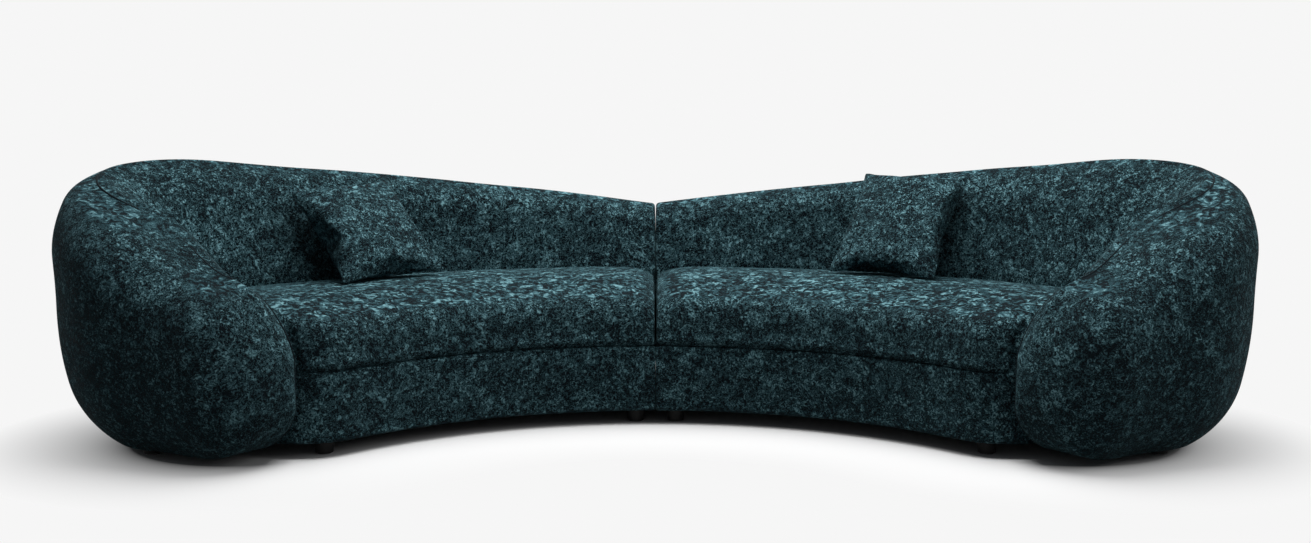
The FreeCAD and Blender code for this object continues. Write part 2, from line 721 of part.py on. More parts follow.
# Connector tongue: a plate whose hooked arm crosses the joint and drops into the pocket.
tongue_body = new_body("connector_tongue")
centred_pad(tongue_body, "tongue_plate", "sizes.plate_width", "sizes.plate_height",
            "sizes.connector_height", "sizes.plate_thickness")
hook_sketch = new_sketch(tongue_body, "hook_side", "XZ_Plane")
hook_columns = {
    "root": "sizes.plate_thickness / 2",
    "near": "2 * sizes.joint_recess + sizes.module_gap - 1.5 * sizes.plate_thickness - sizes.pocket_depth / 2",
    "far": "2 * sizes.joint_recess + sizes.module_gap - 0.5 * sizes.plate_thickness - sizes.pocket_depth / 2",
}
hook_rows = {
    "tip": "sizes.connector_height + 11 - sizes.tongue_length",
    "under": "sizes.connector_height + 3",
    "top": "sizes.connector_height + 11",
}
closed_profile(
    hook_sketch,
    hook_columns,
    hook_rows,
    [("root", "under"), ("near", "under"), ("near", "tip"), ("far", "tip"), ("far", "top"), ("root", "top")],
)
hook = tongue_body.newObject("PartDesign::Pad", "hook")
hook.Profile = hook_sketch
hook.Midplane = True
hook.setExpression("Length", "sizes.tongue_width")
doc.recompute()


def connector_places():
    """Distances from the ring centre of the two connectors on the end rail."""
    near = size("seat_front_radius") + 150.0
    far = BACK_RADIUS - 130.0
    return [near, far]


def screw_places(radius):
    """Two screws of one connector plate, as distance from the ring centre and height."""
    across = size("plate_width") / 2 - 7.0
    upright = size("plate_height") / 2 - 7.0
    height = size("connector_height")
    return [(radius - across, height + upright), (radius + across, height - upright)]


def bored(shape, radius_mm):
    """Shape with the connector screws' holes of a given radius."""
    for radius in connector_places():
        for distance, height in screw_places(radius):
            start = Vector(-size("joint_recess") - size("rail_thickness") - 5, distance, height)
            shape = shape.cut(Part.makeCylinder(radius_mm, 80, start, Vector(1, 0, 0)))
    return shape


def connector_pair(body):
    """Two copies of a connector on the end rail's outer face, bored for their screws."""
    pieces = []
    for radius in connector_places():
        piece = body.Shape.copy()
        piece.translate(Vector(-size("joint_recess"), radius, 0))
        pieces.append(bored(piece, size("screw_radius") + 0.2))
    return Part.makeCompound(pieces)


rail_near = size("seat_front_radius") + size("border_thickness") + size("rail_thickness") + FIT + 0.3
rail_far = BACK_RADIUS - size("rail_thickness") - 5.0 - 1.2
end_rail = Part.makeBox(
    size("rail_thickness"), rail_far - rail_near, RAIL_TOP - PANEL_TOP,
    Vector(-size("joint_recess") - size("rail_thickness"), rail_near, PANEL_TOP),
)
add_shape("left_end_rail", bored(end_rail, size("screw_radius") + 0.1))

screws = []
for radius in connector_places():
    for distance, height in screw_places(radius):
        seat = Vector(-size("joint_recess") + size("plate_thickness"), distance, height)
        head = Part.makeCylinder(size("screw_head_radius"), 2.2, seat, Vector(1, 0, 0))
        shank = Part.makeCylinder(size("screw_radius"), size("screw_length"), seat, Vector(-1, 0, 0))
        screws.append(head.fuse(shank))
add_shape("left_connector_screws", Part.makeCompound(screws))

feet = []
glides = []
for place in foot_places():
    for source, group in ((foot_body.Shape, feet), (glide.Shape, glides)):
        piece = source.copy()
        piece.translate(place)
        group.append(piece)
add_shape("left_feet", Part.makeCompound(feet))
add_shape("left_glides", Part.makeCompound(glides))

for piece in left_parts:
    mirror = doc.addObject("Part::Mirroring", piece.Label.replace("left_", "right_"))
    mirror.Label = piece.Label.replace("left_", "right_")
    mirror.Source = piece
    mirror.Normal = Vector(1, 0, 0)
    mirror.Base = Vector(0, 0, 0)
    single_parts.append(mirror)

sockets = add_shape("left_connector_sockets", connector_pair(socket_body))
tongue_source = connector_pair(tongue_body)
tongues = add_shape("right_connector_tongues", tongue_source.mirror(Vector(0, 0, 0), Vector(1, 0, 0)), single_parts)


# Pillows: knife-edged squares that swell from the edges to a crown, with hollowed sides.
def pillow_solid(inset):
    """Closed pillow standing on its lower edge, drawn in on all sides by inset."""
    half = size("pillow_side") / 2
    wires = []
    for share in (-1.0, -0.93, -0.72, -0.38, 0.0, 0.38, 0.72, 0.93, 1.0):
        swell = (1 - share * share) ** 0.62
        edge = size("pillow_edge") / 2 - inset * 0.6
        crown = edge + (size("pillow_thickness") / 2 - size("pillow_edge") / 2 - inset * 0.4) * swell
        low = inset
        high = 2 * half - inset
        x = share * (half - inset)
        points = [
            Vector(x, -edge, low), Vector(x, -crown - 0.01, half), Vector(x, -edge, high),
            Vector(x, edge, high), Vector(x, crown + 0.01, half), Vector(x, edge, low),
        ]
        edges = [
            Part.Arc(points[0], points[1], points[2]).toShape(),
            Part.LineSegment(points[2], points[3]).toShape(),
            Part.Arc(points[3], points[4], points[5]).toShape(),
            Part.LineSegment(points[5], points[0]).toShape(),
        ]
        wires.append(Part.Wire(edges))
    body = Part.makeLoft(wires, True, False)
    draw = size("pillow_draw")
    reach = half - inset
    corners = [Vector(-reach, -200, inset), Vector(reach, -200, inset),
               Vector(reach, -200, 2 * half - inset), Vector(-reach, -200, 2 * half - inset)]
    inner = [Vector(0, -200, inset + draw), Vector(reach - draw, -200, half),
             Vector(0, -200, 2 * half - inset - draw), Vector(-reach + draw, -200, half)]
    outline = []
    for index in range(4):
        outline.append(Part.Arc(corners[index], inner[index], corners[(index + 1) % 4]).toShape())
    prism = Part.Face(Part.Wire(outline)).extrude(Vector(0, 400, 0))
    return largest_solid(body.common(prism))


def add_pillow(side, sign):
    """Cover and filling of one pillow, leaning back against the wall."""
    cover = pillow_solid(0.0).cut(pillow_solid(size("cover_thickness")))
    filling = pillow_solid(size("cover_thickness") + 0.3)
    angle = size(side + "_pillow_angle")
    yaw = sign * (angle + size(side + "_pillow_twist"))
    turn = Rotation(Vector(0, 0, 1), yaw).multiply(Rotation(Vector(1, 0, 0), -size(side + "_pillow_lean")))
    reach = BACK_RADIUS - size(side + "_pillow_setback")
    foot = polar(reach, math.radians(sign * angle), size("seat_crown_height"))
    trial = Placement(foot, turn)
    low = min(trial.multVec(point).z for point in cover.tessellate(0.5)[0])
    foot.z += size("seat_crown_height") + size("pillow_rest_gap") - low
    for name, shape in (("cover", cover), ("filling", filling)):
        part = add_shape("%s_pillow_%s" % (side, name), shape, single_parts)
        part.Placement = Placement(foot, turn)


add_pillow("left", 1)
add_pillow("right", -1)

# Carry everything from the ring centre to the middle of the footprint.
doc.recompute()
middle_y = middle_of(left_parts[0].Shape)
for part in left_parts:
    part.Placement = Placement(Vector(-size("module_gap") / 2, -middle_y, 0), Rotation()).multiply(part.Placement)
for part in single_parts:
    if part.TypeId == "Part::Mirroring":
        continue
    side_shift = size("module_gap") / 2 if "tongues" in part.Label else 0.0
    part.Placement = Placement(Vector(side_shift, -middle_y, 0), Rotation()).multiply(part.Placement)
doc.recompute()

for item in doc.Objects:
    if "Invalid" in item.State or "Error" in item.State:
        raise RuntimeError("failed object: " + item.Name)
os.makedirs("parts", exist_ok=True)
for part in left_parts + single_parts:
    shape = part.Shape
    if shape.isNull() or not shape.isValid():
        raise RuntimeError("bad shape: " + part.Label)
    shape.exportStep(os.path.join("parts", part.Label + ".step"))
    box = shape.optimalBoundingBox(False)
    print("%-26s solids %2d  x %8.1f %8.1f  y %8.1f %8.1f  z %7.1f %7.1f  volume %.4g" % (
        part.Label, len(shape.Solids), box.XMin, box.XMax, box.YMin, box.YMax, box.ZMin, box.ZMax, shape.Volume))
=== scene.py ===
"""Crescent sofa in two modules: upholstery meshes, finishes, studio light and camera."""

import json
import logging
import math
from collections.abc import Sequence
from dataclasses import dataclass, field
from enum import Enum

import bpy
import numpy as np
from mathutils import Matrix, Vector, noise
from mathutils.bvhtree import BVHTree


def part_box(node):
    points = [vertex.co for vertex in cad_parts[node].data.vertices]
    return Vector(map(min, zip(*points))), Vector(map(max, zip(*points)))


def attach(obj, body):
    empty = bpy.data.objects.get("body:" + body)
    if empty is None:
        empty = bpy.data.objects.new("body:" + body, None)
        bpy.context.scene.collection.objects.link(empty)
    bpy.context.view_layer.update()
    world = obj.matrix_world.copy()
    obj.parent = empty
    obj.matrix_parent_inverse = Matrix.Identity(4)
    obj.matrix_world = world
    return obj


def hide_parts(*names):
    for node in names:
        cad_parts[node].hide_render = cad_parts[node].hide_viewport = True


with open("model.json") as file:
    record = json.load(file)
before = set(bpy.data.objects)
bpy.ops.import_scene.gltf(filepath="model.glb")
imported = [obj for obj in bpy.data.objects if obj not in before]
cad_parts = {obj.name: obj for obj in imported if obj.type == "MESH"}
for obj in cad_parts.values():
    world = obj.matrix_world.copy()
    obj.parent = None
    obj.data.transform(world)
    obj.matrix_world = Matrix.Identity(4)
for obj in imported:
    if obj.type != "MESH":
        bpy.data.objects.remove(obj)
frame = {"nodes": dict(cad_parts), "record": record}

LOG = logging.getLogger("sofa")
MM = 0.001
Array = np.ndarray
Face = tuple[int, ...]
Material = bpy.types.Material
Tree = bpy.types.NodeTree
Socket = bpy.types.NodeSocket
Triple = tuple[float, float, float]
# Distances in millimetres of the first sections, close together where an end is rounded,
# and the distance from which the sections are evenly spaced.
END_STEPS = (0.0, 1.0, 2.5, 5.0, 8.0, 12.0)
EVEN_START = 20.0
# Sizes of a wall section: height of the crest, widths of the wall and of its hem, height of
# the hem, distance of the crest behind the inner face, lean of the inner face in degrees,
# fullness of the shoulder as a share, and slope of the crest in degrees.
SECTION_SIZES = ("crest", "wall", "hem", "low", "offset", "lean", "fullness", "ridge")


class Side(Enum):
    """The two mirrored modules, by the sign of X on which each lies."""

    LEFT = -1
    RIGHT = 1

    @property
    def prefix(self) -> str:
        """Start of the names of this module's nodes and pieces."""
        return self.name.lower()

    @property
    def body(self) -> str:
        """Body that this module's pieces ride on."""
        return self.prefix + "_module"


# Helpers that every class below uses.


def linear_colour(hex_code: str) -> tuple[float, float, float, float]:
    """Turn an sRGB hex colour into linear RGBA.

    Args:
        hex_code: six hex digits, with or without a leading hash sign.

    Returns:
        Red, green and blue in linear light, with alpha 1.
    """
    digits = hex_code.lstrip("#")
    channels = [int(digits[index:index + 2], 16) / 255 for index in (0, 2, 4)]
    linear = [c / 12.92 if c <= 0.04045 else ((c + 0.055) / 1.055) ** 2.4 for c in channels]
    return (linear[0], linear[1], linear[2], 1.0)


def per_metre(size_mm: float) -> float:
    """Texture scale that gives features of a size in millimetres."""
    return 1000.0 / size_mm


def add_node(
    tree: Tree, kind: str, inputs: dict[str | int, object] | None = None, **settings: object,
) -> bpy.types.Node:
    """Add a node, set its properties, and set or link its input sockets.

    Args:
        tree: node tree that takes the node.
        kind: type name of the node.
        inputs: by socket name or number, a value or an output socket to link from.
        settings: properties of the node itself.

    Returns:
        The new node.
    """
    node = tree.nodes.new(kind)
    for name, value in settings.items():
        setattr(node, name, value)
    for socket, value in (inputs or {}).items():
        if isinstance(value, Socket):
            tree.links.new(value, node.inputs[socket])
        else:
            node.inputs[socket].default_value = value
    return node


def set_ramp(node: bpy.types.Node, stops: Sequence[tuple[float, str]]) -> Socket:
    """Fill a colour ramp with stops.

    Args:
        node: the colour ramp node.
        stops: positions with hex colours, in rising order.

    Returns:
        The ramp's colour output.
    """
    ramp = node.color_ramp
    while len(ramp.elements) < len(stops):
        ramp.elements.new(0.5)
    for element, (position, colour) in zip(ramp.elements, stops):
        element.position = position
        element.color = linear_colour(colour)
    return node.outputs["Color"]


def new_material(name: str) -> tuple[Material, Tree, bpy.types.Node]:
    """Make an empty node material with its output.

    Args:
        name: name of the material.

    Returns:
        The material, its node tree and its output node.
    """
    material = bpy.data.materials.new(name)
    material.use_nodes = True
    tree = material.node_tree
    tree.nodes.clear()
    return material, tree, tree.nodes.new("ShaderNodeOutputMaterial")


def maths(tree: Tree, operation: str, *values: object) -> Socket:
    """Result of a sum over values and sockets."""
    return add_node(tree, "ShaderNodeMath", dict(enumerate(values)), operation=operation).outputs[0]


def carried(
    tree: Tree, value: Socket, span: tuple[float, float], onto: tuple[float, float] = (0.0, 1.0),
    easing: str = "LINEAR",
) -> Socket:
    """Carry a value from one span onto another.

    Args:
        tree: node tree that takes the node.
        value: the value.
        span: lowest and highest value that it is carried from.
        onto: what these two become.
        easing: name of the run between them.

    Returns:
        The carried value.
    """
    return add_node(tree, "ShaderNodeMapRange", {
        "Value": value, "From Min": span[0], "From Max": span[1], "To Min": onto[0], "To Max": onto[1],
    }, interpolation_type=easing).outputs["Result"]


def seen(tree: Tree) -> Socket:
    """Whether a ray goes to the eye, straight, mirrored or through something clear.

    Args:
        tree: node tree that takes the nodes.

    Returns:
        One for such a ray, or else nought.
    """
    rays = add_node(tree, "ShaderNodeLightPath").outputs
    bent = maths(tree, "MAXIMUM", rays["Is Glossy Ray"], rays["Is Transmission Ray"])
    return maths(tree, "MAXIMUM", rays["Is Camera Ray"], bent)


def grey(level: float) -> tuple[float, float, float, float]:
    """Linear grey with alpha 1."""
    return (level, level, level, 1.0)


# Finishes, each named for the real material.


@dataclass(frozen=True)
class CrushedVelvet:
    """Crushed chenille velvet: short pile pressed in many directions, so it reads as flecks.

    Pile that leans away from the eye looks nearly black, and pile that lies flat shows a
    grey teal. The flecks are jagged and bunch into patches, and they are broader on faces
    that look up, where people sit and lean. The nap is drawn coarser than the real 1 mm,
    as coarse as it needs to show.
    """

    name: str = "crushed_velvet"
    hollow: str = "#030d12"
    shade: str = "#0e2229"
    pile: str = "#2f4e56"
    crest: str = "#62878e"
    fleck_mm: float = 8.5
    pressed_mm: float = 26.0
    patch_mm: float = 46.0
    nap_mm: float = 2.6
    # Detail, roughness and distortion of the noises for fleck, pressed pile, patch and nap.
    fleck_noise: Triple = (5.0, 0.68, 1.5)
    pressed_noise: Triple = (5.0, 0.66, 1.5)
    patch_noise: Triple = (4.0, 0.62, 1.2)
    nap_noise: Triple = (2.0, 0.6, 0.0)
    patch_weight: float = 0.36
    tone_stops: tuple[float, ...] = (0.455, 0.486, 0.502, 0.56, 0.64)
    pressed_slope: tuple[float, float] = (0.80, 0.99)
    relief_mm: float = 5.0
    relief_span: tuple[float, float] = (0.42, 0.58)
    nap_relief_mm: float = 0.8
    nap_strength: float = 0.35
    roughness: float = 0.9
    specular: float = 0.08
    sheen: float = 0.1
    sheen_roughness: float = 0.3
    sheen_tint: str = "#6fa5ae"

    @staticmethod
    def noise(tree: Tree, place: Socket, size_mm: float, kind: Triple) -> Socket:
        """Value of a noise of a given size over the cloth.

        Args:
            tree: node tree that takes the nodes.
            place: point of the cloth.
            size_mm: size of its features.
            kind: its detail, roughness and distortion.

        Returns:
            The value.
        """
        return add_node(tree, "ShaderNodeTexNoise", {
            "Vector": place, "Scale": per_metre(size_mm), "Detail": kind[0], "Roughness": kind[1],
            "Distortion": kind[2],
        }).outputs["Fac"]

    def flecks(self, tree: Tree, place: Socket) -> Socket:
        """Height of the pile, from crushed flat to upright, about a middle of one half.

        Args:
            tree: node tree that takes the nodes.
            place: point of the cloth.

        Returns:
            The height.
        """
        facing = add_node(tree, "ShaderNodeNewGeometry").outputs["Normal"]
        upward = add_node(tree, "ShaderNodeSeparateXYZ", {0: facing}).outputs["Z"]
        pressed = carried(tree, upward, self.pressed_slope, easing="SMOOTHSTEP")
        fine = self.noise(tree, place, self.fleck_mm, self.fleck_noise)
        broad = self.noise(tree, place, self.pressed_mm, self.pressed_noise)
        fleck = add_node(tree, "ShaderNodeMix", {"Factor": pressed, "A": fine, "B": broad}).outputs["Result"]
        patch = self.noise(tree, place, self.patch_mm, self.patch_noise)
        level = maths(tree, "MULTIPLY_ADD", patch, self.patch_weight, fleck)
        return maths(tree, "SUBTRACT", level, self.patch_weight / 2)

    def build(self) -> Material:
        """Build the node material.

        Returns:
            The material.
        """
        material, tree, output = new_material(self.name)
        place = add_node(tree, "ShaderNodeTexCoord").outputs["Object"]
        level = self.flecks(tree, place)
        tones = (self.hollow, self.shade, self.pile, self.pile, self.crest)
        ramp = add_node(tree, "ShaderNodeValToRGB", {"Fac": level})
        height = carried(tree, level, self.relief_span, easing="SMOOTHSTEP")
        nap = self.noise(tree, place, self.nap_mm, self.nap_noise)
        coarse = add_node(
            tree, "ShaderNodeBump", {"Height": height, "Strength": 1.0, "Distance": self.relief_mm * MM},
        ).outputs["Normal"]
        bump = add_node(tree, "ShaderNodeBump", {
            "Height": nap, "Strength": self.nap_strength, "Distance": self.nap_relief_mm * MM,
            "Normal": coarse,
        }).outputs["Normal"]
        shader = add_node(tree, "ShaderNodeBsdfPrincipled", {
            "Base Color": set_ramp(ramp, list(zip(self.tone_stops, tones))), "Roughness": self.roughness,
            "Specular IOR Level": self.specular, "Sheen Weight": self.sheen,
            "Sheen Roughness": self.sheen_roughness, "Sheen Tint": linear_colour(self.sheen_tint),
            "Normal": bump,
        })
        tree.links.new(shader.outputs[0], output.inputs["Surface"])
        return material


@dataclass(frozen=True)
class SimpleFinish:
    """A plain material with a fine noise in its colour, its gloss and its surface."""

    name: str
    dark: str
    light: str
    grain_mm: float
    stretch: Triple = (1.0, 1.0, 1.0)
    roughness: float = 0.5
    roughness_swing: float = 0.15
    metallic: float = 0.0
    specular: float = 0.5
    bump_mm: float = 0.2
    bump_strength: float = 0.4
    tone_span: tuple[float, float] = (0.32, 0.68)
    gloss_span: tuple[float, float] = (0.3, 0.7)

    def build(self) -> Material:
        """Build the node material.

        Returns:
            The material.
        """
        material, tree, output = new_material(self.name)
        place = add_node(tree, "ShaderNodeTexCoord").outputs["Object"]
        laid = add_node(tree, "ShaderNodeMapping", {"Vector": place, "Scale": self.stretch}).outputs["Vector"]
        grain = add_node(tree, "ShaderNodeTexNoise", {
            "Vector": laid, "Scale": per_metre(self.grain_mm), "Detail": 4.0, "Roughness": 0.6,
        }).outputs["Fac"]
        ramp = add_node(tree, "ShaderNodeValToRGB", {"Fac": grain})
        colour = set_ramp(ramp, list(zip(self.tone_span, (self.dark, self.light))))
        swing = (self.roughness - self.roughness_swing, self.roughness + self.roughness_swing)
        gloss = carried(tree, grain, self.gloss_span, swing)
        bump = add_node(tree, "ShaderNodeBump", {
            "Height": grain, "Strength": self.bump_strength, "Distance": self.bump_mm * MM,
        }).outputs["Normal"]
        shader = add_node(tree, "ShaderNodeBsdfPrincipled", {
            "Base Color": colour, "Roughness": gloss, "Metallic": self.metallic, "Normal": bump,
            "Specular IOR Level": self.specular,
        })
        tree.links.new(shader.outputs[0], output.inputs["Surface"])
        return material


# Curves, splines and meshes, in millimetres unless a line says metres.


def pair(across: float, up: float) -> Array:
    """Flat point or direction."""
    return np.array([across, up])


def unit(vector: Array) -> Array:
    """Vector of length one along a vector."""
    return vector / np.linalg.norm(vector)


def arc_points(start: Array, tangent: Array, end: Array, count: int) -> Array:
    """Points on the arc that leaves a start along a tangent and reaches an end.

    Args:
        start: flat point where the arc starts.
        tangent: unit direction at the start.
        end: flat point where the arc ends.
        count: number of points, the start left out.

    Returns:
        Array of count flat points.
    """
    chord = end - start
    side = np.array([-tangent[1], tangent[0]])
    turn = 2 * math.atan2(float(chord @ side), float(chord @ tangent))
    shares = np.linspace(0, 1, count + 1)[1:]
    if abs(turn) < 1e-6:
        return start + np.outer(shares, chord)
    radius = float(chord @ chord) / (2 * float(chord @ side))
    centre = start + side * radius
    arm = start - centre
    cos, sin = np.cos(turn * shares), np.sin(turn * shares)
    return centre + np.stack([arm[0] * cos - arm[1] * sin, arm[0] * sin + arm[1] * cos], axis=1)


def biarc_points(start: Array, leave: Array, end: Array, arrive: Array, count: int) -> Array:
    """Points on two tangent arcs between two flat points.

    Args:
        start: first point.
        leave: direction at the first point.
        end: last point.
        arrive: direction at the last point.
        count: number of points on each arc, the start left out.

    Returns:
        Array of twice count flat points.
    """
    leave, arrive = unit(leave), unit(arrive)
    chord = end - start
    bend = 2 * (1 - float(leave @ arrive))
    along = float(chord @ (leave + arrive))
    handle = (math.sqrt(along ** 2 + bend * float(chord @ chord)) - along) / bend
    knee = (start + end + (leave - arrive) * handle) * 0.5
    first = arc_points(start, leave, knee, count)
    second = arc_points(end, -arrive, knee, count)[::-1][1:]
    return np.concatenate([first, second, [end]])


def line_points(start: Array, end: Array, count: int) -> Array:
    """Evenly spaced points on a line, the start left out."""
    return start + np.outer(np.linspace(0, 1, count + 1)[1:], end - start)


def through_stations(sections: Array, wanted: Array) -> Array:
    """Carry sections smoothly through their stations with a natural cubic spline.

    Args:
        sections: stations by points by three coordinates.
        wanted: places along the run, in the units of station_knots.

    Returns:
        Sections at the wanted places.
    """
    knots = station_knots(sections)
    count = len(knots)
    gaps = np.diff(knots)
    matrix = np.eye(count)
    known = np.zeros_like(sections)
    for index in range(1, count - 1):
        matrix[index, index - 1:index + 2] = gaps[index - 1], 2 * (gaps[index - 1] + gaps[index]), gaps[index]
        after = (sections[index + 1] - sections[index]) / gaps[index]
        before = (sections[index] - sections[index - 1]) / gaps[index - 1]
        known[index] = 6 * (after - before)
    bends = np.linalg.solve(matrix, known.reshape(count, -1)).reshape(sections.shape)
    spans = np.clip(np.searchsorted(knots, wanted, side="right") - 1, 0, count - 2)
    gap = gaps[spans][:, None, None]
    far = (wanted - knots[spans])[:, None, None]
    near = gap - far
    return (
        bends[spans] * near ** 3 / (6 * gap) + bends[spans + 1] * far ** 3 / (6 * gap)
        + (sections[spans] / gap - bends[spans] * gap / 6) * near
        + (sections[spans + 1] / gap - bends[spans + 1] * gap / 6) * far
    )


def station_knots(sections: Array) -> Array:
    """Distance of each station along the run, as the mean travel of its points."""
    steps = np.linalg.norm(np.diff(sections, axis=0), axis=2).mean(axis=1)
    return np.concatenate([[0.0], np.cumsum(steps)])


def grid_normals(grid: Array) -> Array:
    """Outward unit normals of a tube-like grid that closes along its second axis.

    Args:
        grid: rows by columns of points.

    Returns:
        Normals in the same order.
    """
    along = np.gradient(grid, axis=0)
    around = np.roll(grid, -1, axis=1) - np.roll(grid, 1, axis=1)
    normals = np.cross(around, along)
    lengths = np.linalg.norm(normals, axis=2, keepdims=True)
    normals = normals / np.maximum(lengths, 1e-9)
    outward = grid - grid.mean(axis=1, keepdims=True)
    return normals if float((normals * outward).sum()) > 0 else -normals


def grid_faces(rows: int, columns: int, closed: bool = True) -> list[Face]:
    """Quads of a grid of points, numbered row by row.

    Args:
        rows: number of rows.
        columns: number of points in a row.
        closed: whether the last column joins the first.

    Returns:
        The quads.
    """
    faces = []
    for row in range(rows - 1):
        for column in range(columns if closed else columns - 1):
            beside = (column + 1) % columns
            low, high = row * columns, (row + 1) * columns
            faces.append((low + column, high + column, high + beside, low + beside))
    return faces


def capped_faces(rows: int, columns: int) -> list[Face]:
    """Faces of a closed tube of points, with a face over each end."""
    ends = [tuple(range(columns)), tuple(range((rows - 1) * columns, rows * columns))]
    return grid_faces(rows, columns) + ends


def linked(name: str, data: bpy.types.ID) -> bpy.types.Object:
    """New object in the scene round its data.

    Args:
        name: name of the object.
        data: its mesh, lamp or camera data.

    Returns:
        The object.
    """
    made = bpy.data.objects.new(name, data)
    bpy.context.scene.collection.objects.link(made)
    return made


def mesh_object(
    name: str, points: Array, faces: list[Face], flip: bool, material: Material,
) -> bpy.types.Object:
    """Make a smooth-shaded mesh object from points in metres.

    Args:
        name: name of the object and its mesh.
        points: array of points.
        faces: corner numbers of each face.
        flip: whether the faces are turned over.
        material: finish of all its faces.

    Returns:
        The linked object.
    """
    mesh = bpy.data.meshes.new(name)
    mesh.from_pydata(points.tolist(), [], [face[::-1] for face in faces] if flip else faces)
    mesh.polygons.foreach_set("use_smooth", [True] * len(mesh.polygons))
    mesh.materials.append(material)
    mesh.validate()
    mesh.update()
    return linked(name, mesh)


def tube_points(path: Array, radius: float, sides: int) -> Array:
    """Rings of points round a path, carried along it without twist.

    Args:
        path: points of the centre line.
        radius: radius of the tube.
        sides: points in a ring.

    Returns:
        Array of path points by sides by three.
    """
    tangents = np.gradient(path, axis=0)
    tangents /= np.linalg.norm(tangents, axis=1, keepdims=True)
    across = unit(np.cross(tangents[0], np.array([0.3, 0.1, 0.9])))
    rings = []
    for point, tangent in zip(path, tangents):
        across = unit(across - tangent * float(across @ tangent))
        other = np.cross(tangent, across)
        turns = np.linspace(0, 2 * math.pi, sides, endpoint=False)
        rings.append(point + radius * (np.outer(np.cos(turns), across) + np.outer(np.sin(turns), other)))
    return np.array(rings)


def soft_swell(points: Array, normals: Array, amount_mm: float, wave_mm: float, seed: float) -> Array:
    """Move points a little along their normals, as foam under cloth is never quite even.

    Args:
        points: array of points in millimetres.
        normals: unit normals of the points.
        amount_mm: largest movement.
        wave_mm: length of the waves.
        seed: shifts the pattern.

    Returns:
        The moved points.
    """
    flat = points.reshape(-1, 3)
    swell = np.array([noise.noise(Vector(point / wave_mm) + Vector((seed, seed, seed))) for point in flat])
    return points + normals * (swell.reshape(points.shape[:-1]) * amount_mm)[..., None]


def edge_inset(distance: Array, radius: float) -> Array:
    """Depth of a quarter-round edge at a distance from the edge."""
    inside = np.clip(radius - distance, 0, radius)
    return radius - np.sqrt(np.maximum(radius ** 2 - inside ** 2, 0))


# The sofa's plan and its upholstered pieces, worked out for the left module and mirrored.


@dataclass
class RingPlan:
    """Plan of one module about the ring centre, in millimetres and degrees."""

    seat_front_radius: float = 1153.0
    seat_depth: float = 632.0
    seat_angle: float = 53.7
    corner_radius: float = 150.0
    base_height: float = 45.0
    half_gap: float = 0.1
    border_thickness: float = 30.0
    ease_start: float = 46.0
    arm_setback: float = 66.0

    @property
    def back_radius(self) -> float:
        """Radius of the back's inner face."""
        return self.seat_front_radius + self.seat_depth

    @property
    def seat_end(self) -> float:
        """Angle of the arm's inner face, in radians."""
        return math.radians(self.seat_angle)

    @property
    def corner_centre_radius(self) -> float:
        """Radius at which the inner corner's centre lies."""
        return self.back_radius - self.corner_radius

    @property
    def corner_start(self) -> float:
        """Angle at which the back turns into the corner."""
        return self.seat_end - math.asin(self.corner_radius / self.corner_centre_radius)

    @property
    def corner_sweep(self) -> float:
        """Turn of the inner corner."""
        return math.pi / 2 + self.seat_end - self.corner_start

    @property
    def arm_root(self) -> float:
        """Distance from the ring centre at which the corner runs into the arm."""
        return math.sqrt(self.corner_centre_radius ** 2 - self.corner_radius ** 2)

    @property
    def ring_y(self) -> float:
        """Where the ring centre lies along Y in the frame."""
        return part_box("left_front_border")[1].y / MM - self.seat_front_radius - self.border_thickness

    @staticmethod
    def radial(angle: float) -> Array:
        """Flat unit vector from the ring centre at an angle from the joint."""
        return np.array([-math.sin(angle), math.cos(angle)])

    def front_radius(self, angle: float) -> float:
        """Radius of the seat front, which eases outwards near the arm.

        Args:
            angle: angle from the joint, in radians.

        Returns:
            The radius in millimetres.
        """
        start = math.radians(self.ease_start)
        ease = max(0.0, (angle - start) / (self.seat_end - start))
        return self.seat_front_radius + self.arm_setback * ease ** 3

    def placed(self, points: Array, side: Side) -> Array:
        """Points of the left module's plan in metres in the frame, mirrored for the right.

        Args:
            points: points about the ring centre, in millimetres, of the left module.
            side: module that they are for.

        Returns:
            Points in metres.
        """
        moved = points + np.array([-self.half_gap, self.ring_y, 0.0])
        return moved * np.array([-side.value, 1.0, 1.0]) * MM


@dataclass
class Station:
    """One section of the wall: where it stands, which way it faces and how large it is."""

    origin: Array
    facing: Array
    sizes: dict[str, float]
    foot_round: float = 6.0
    scale: float = 1.0


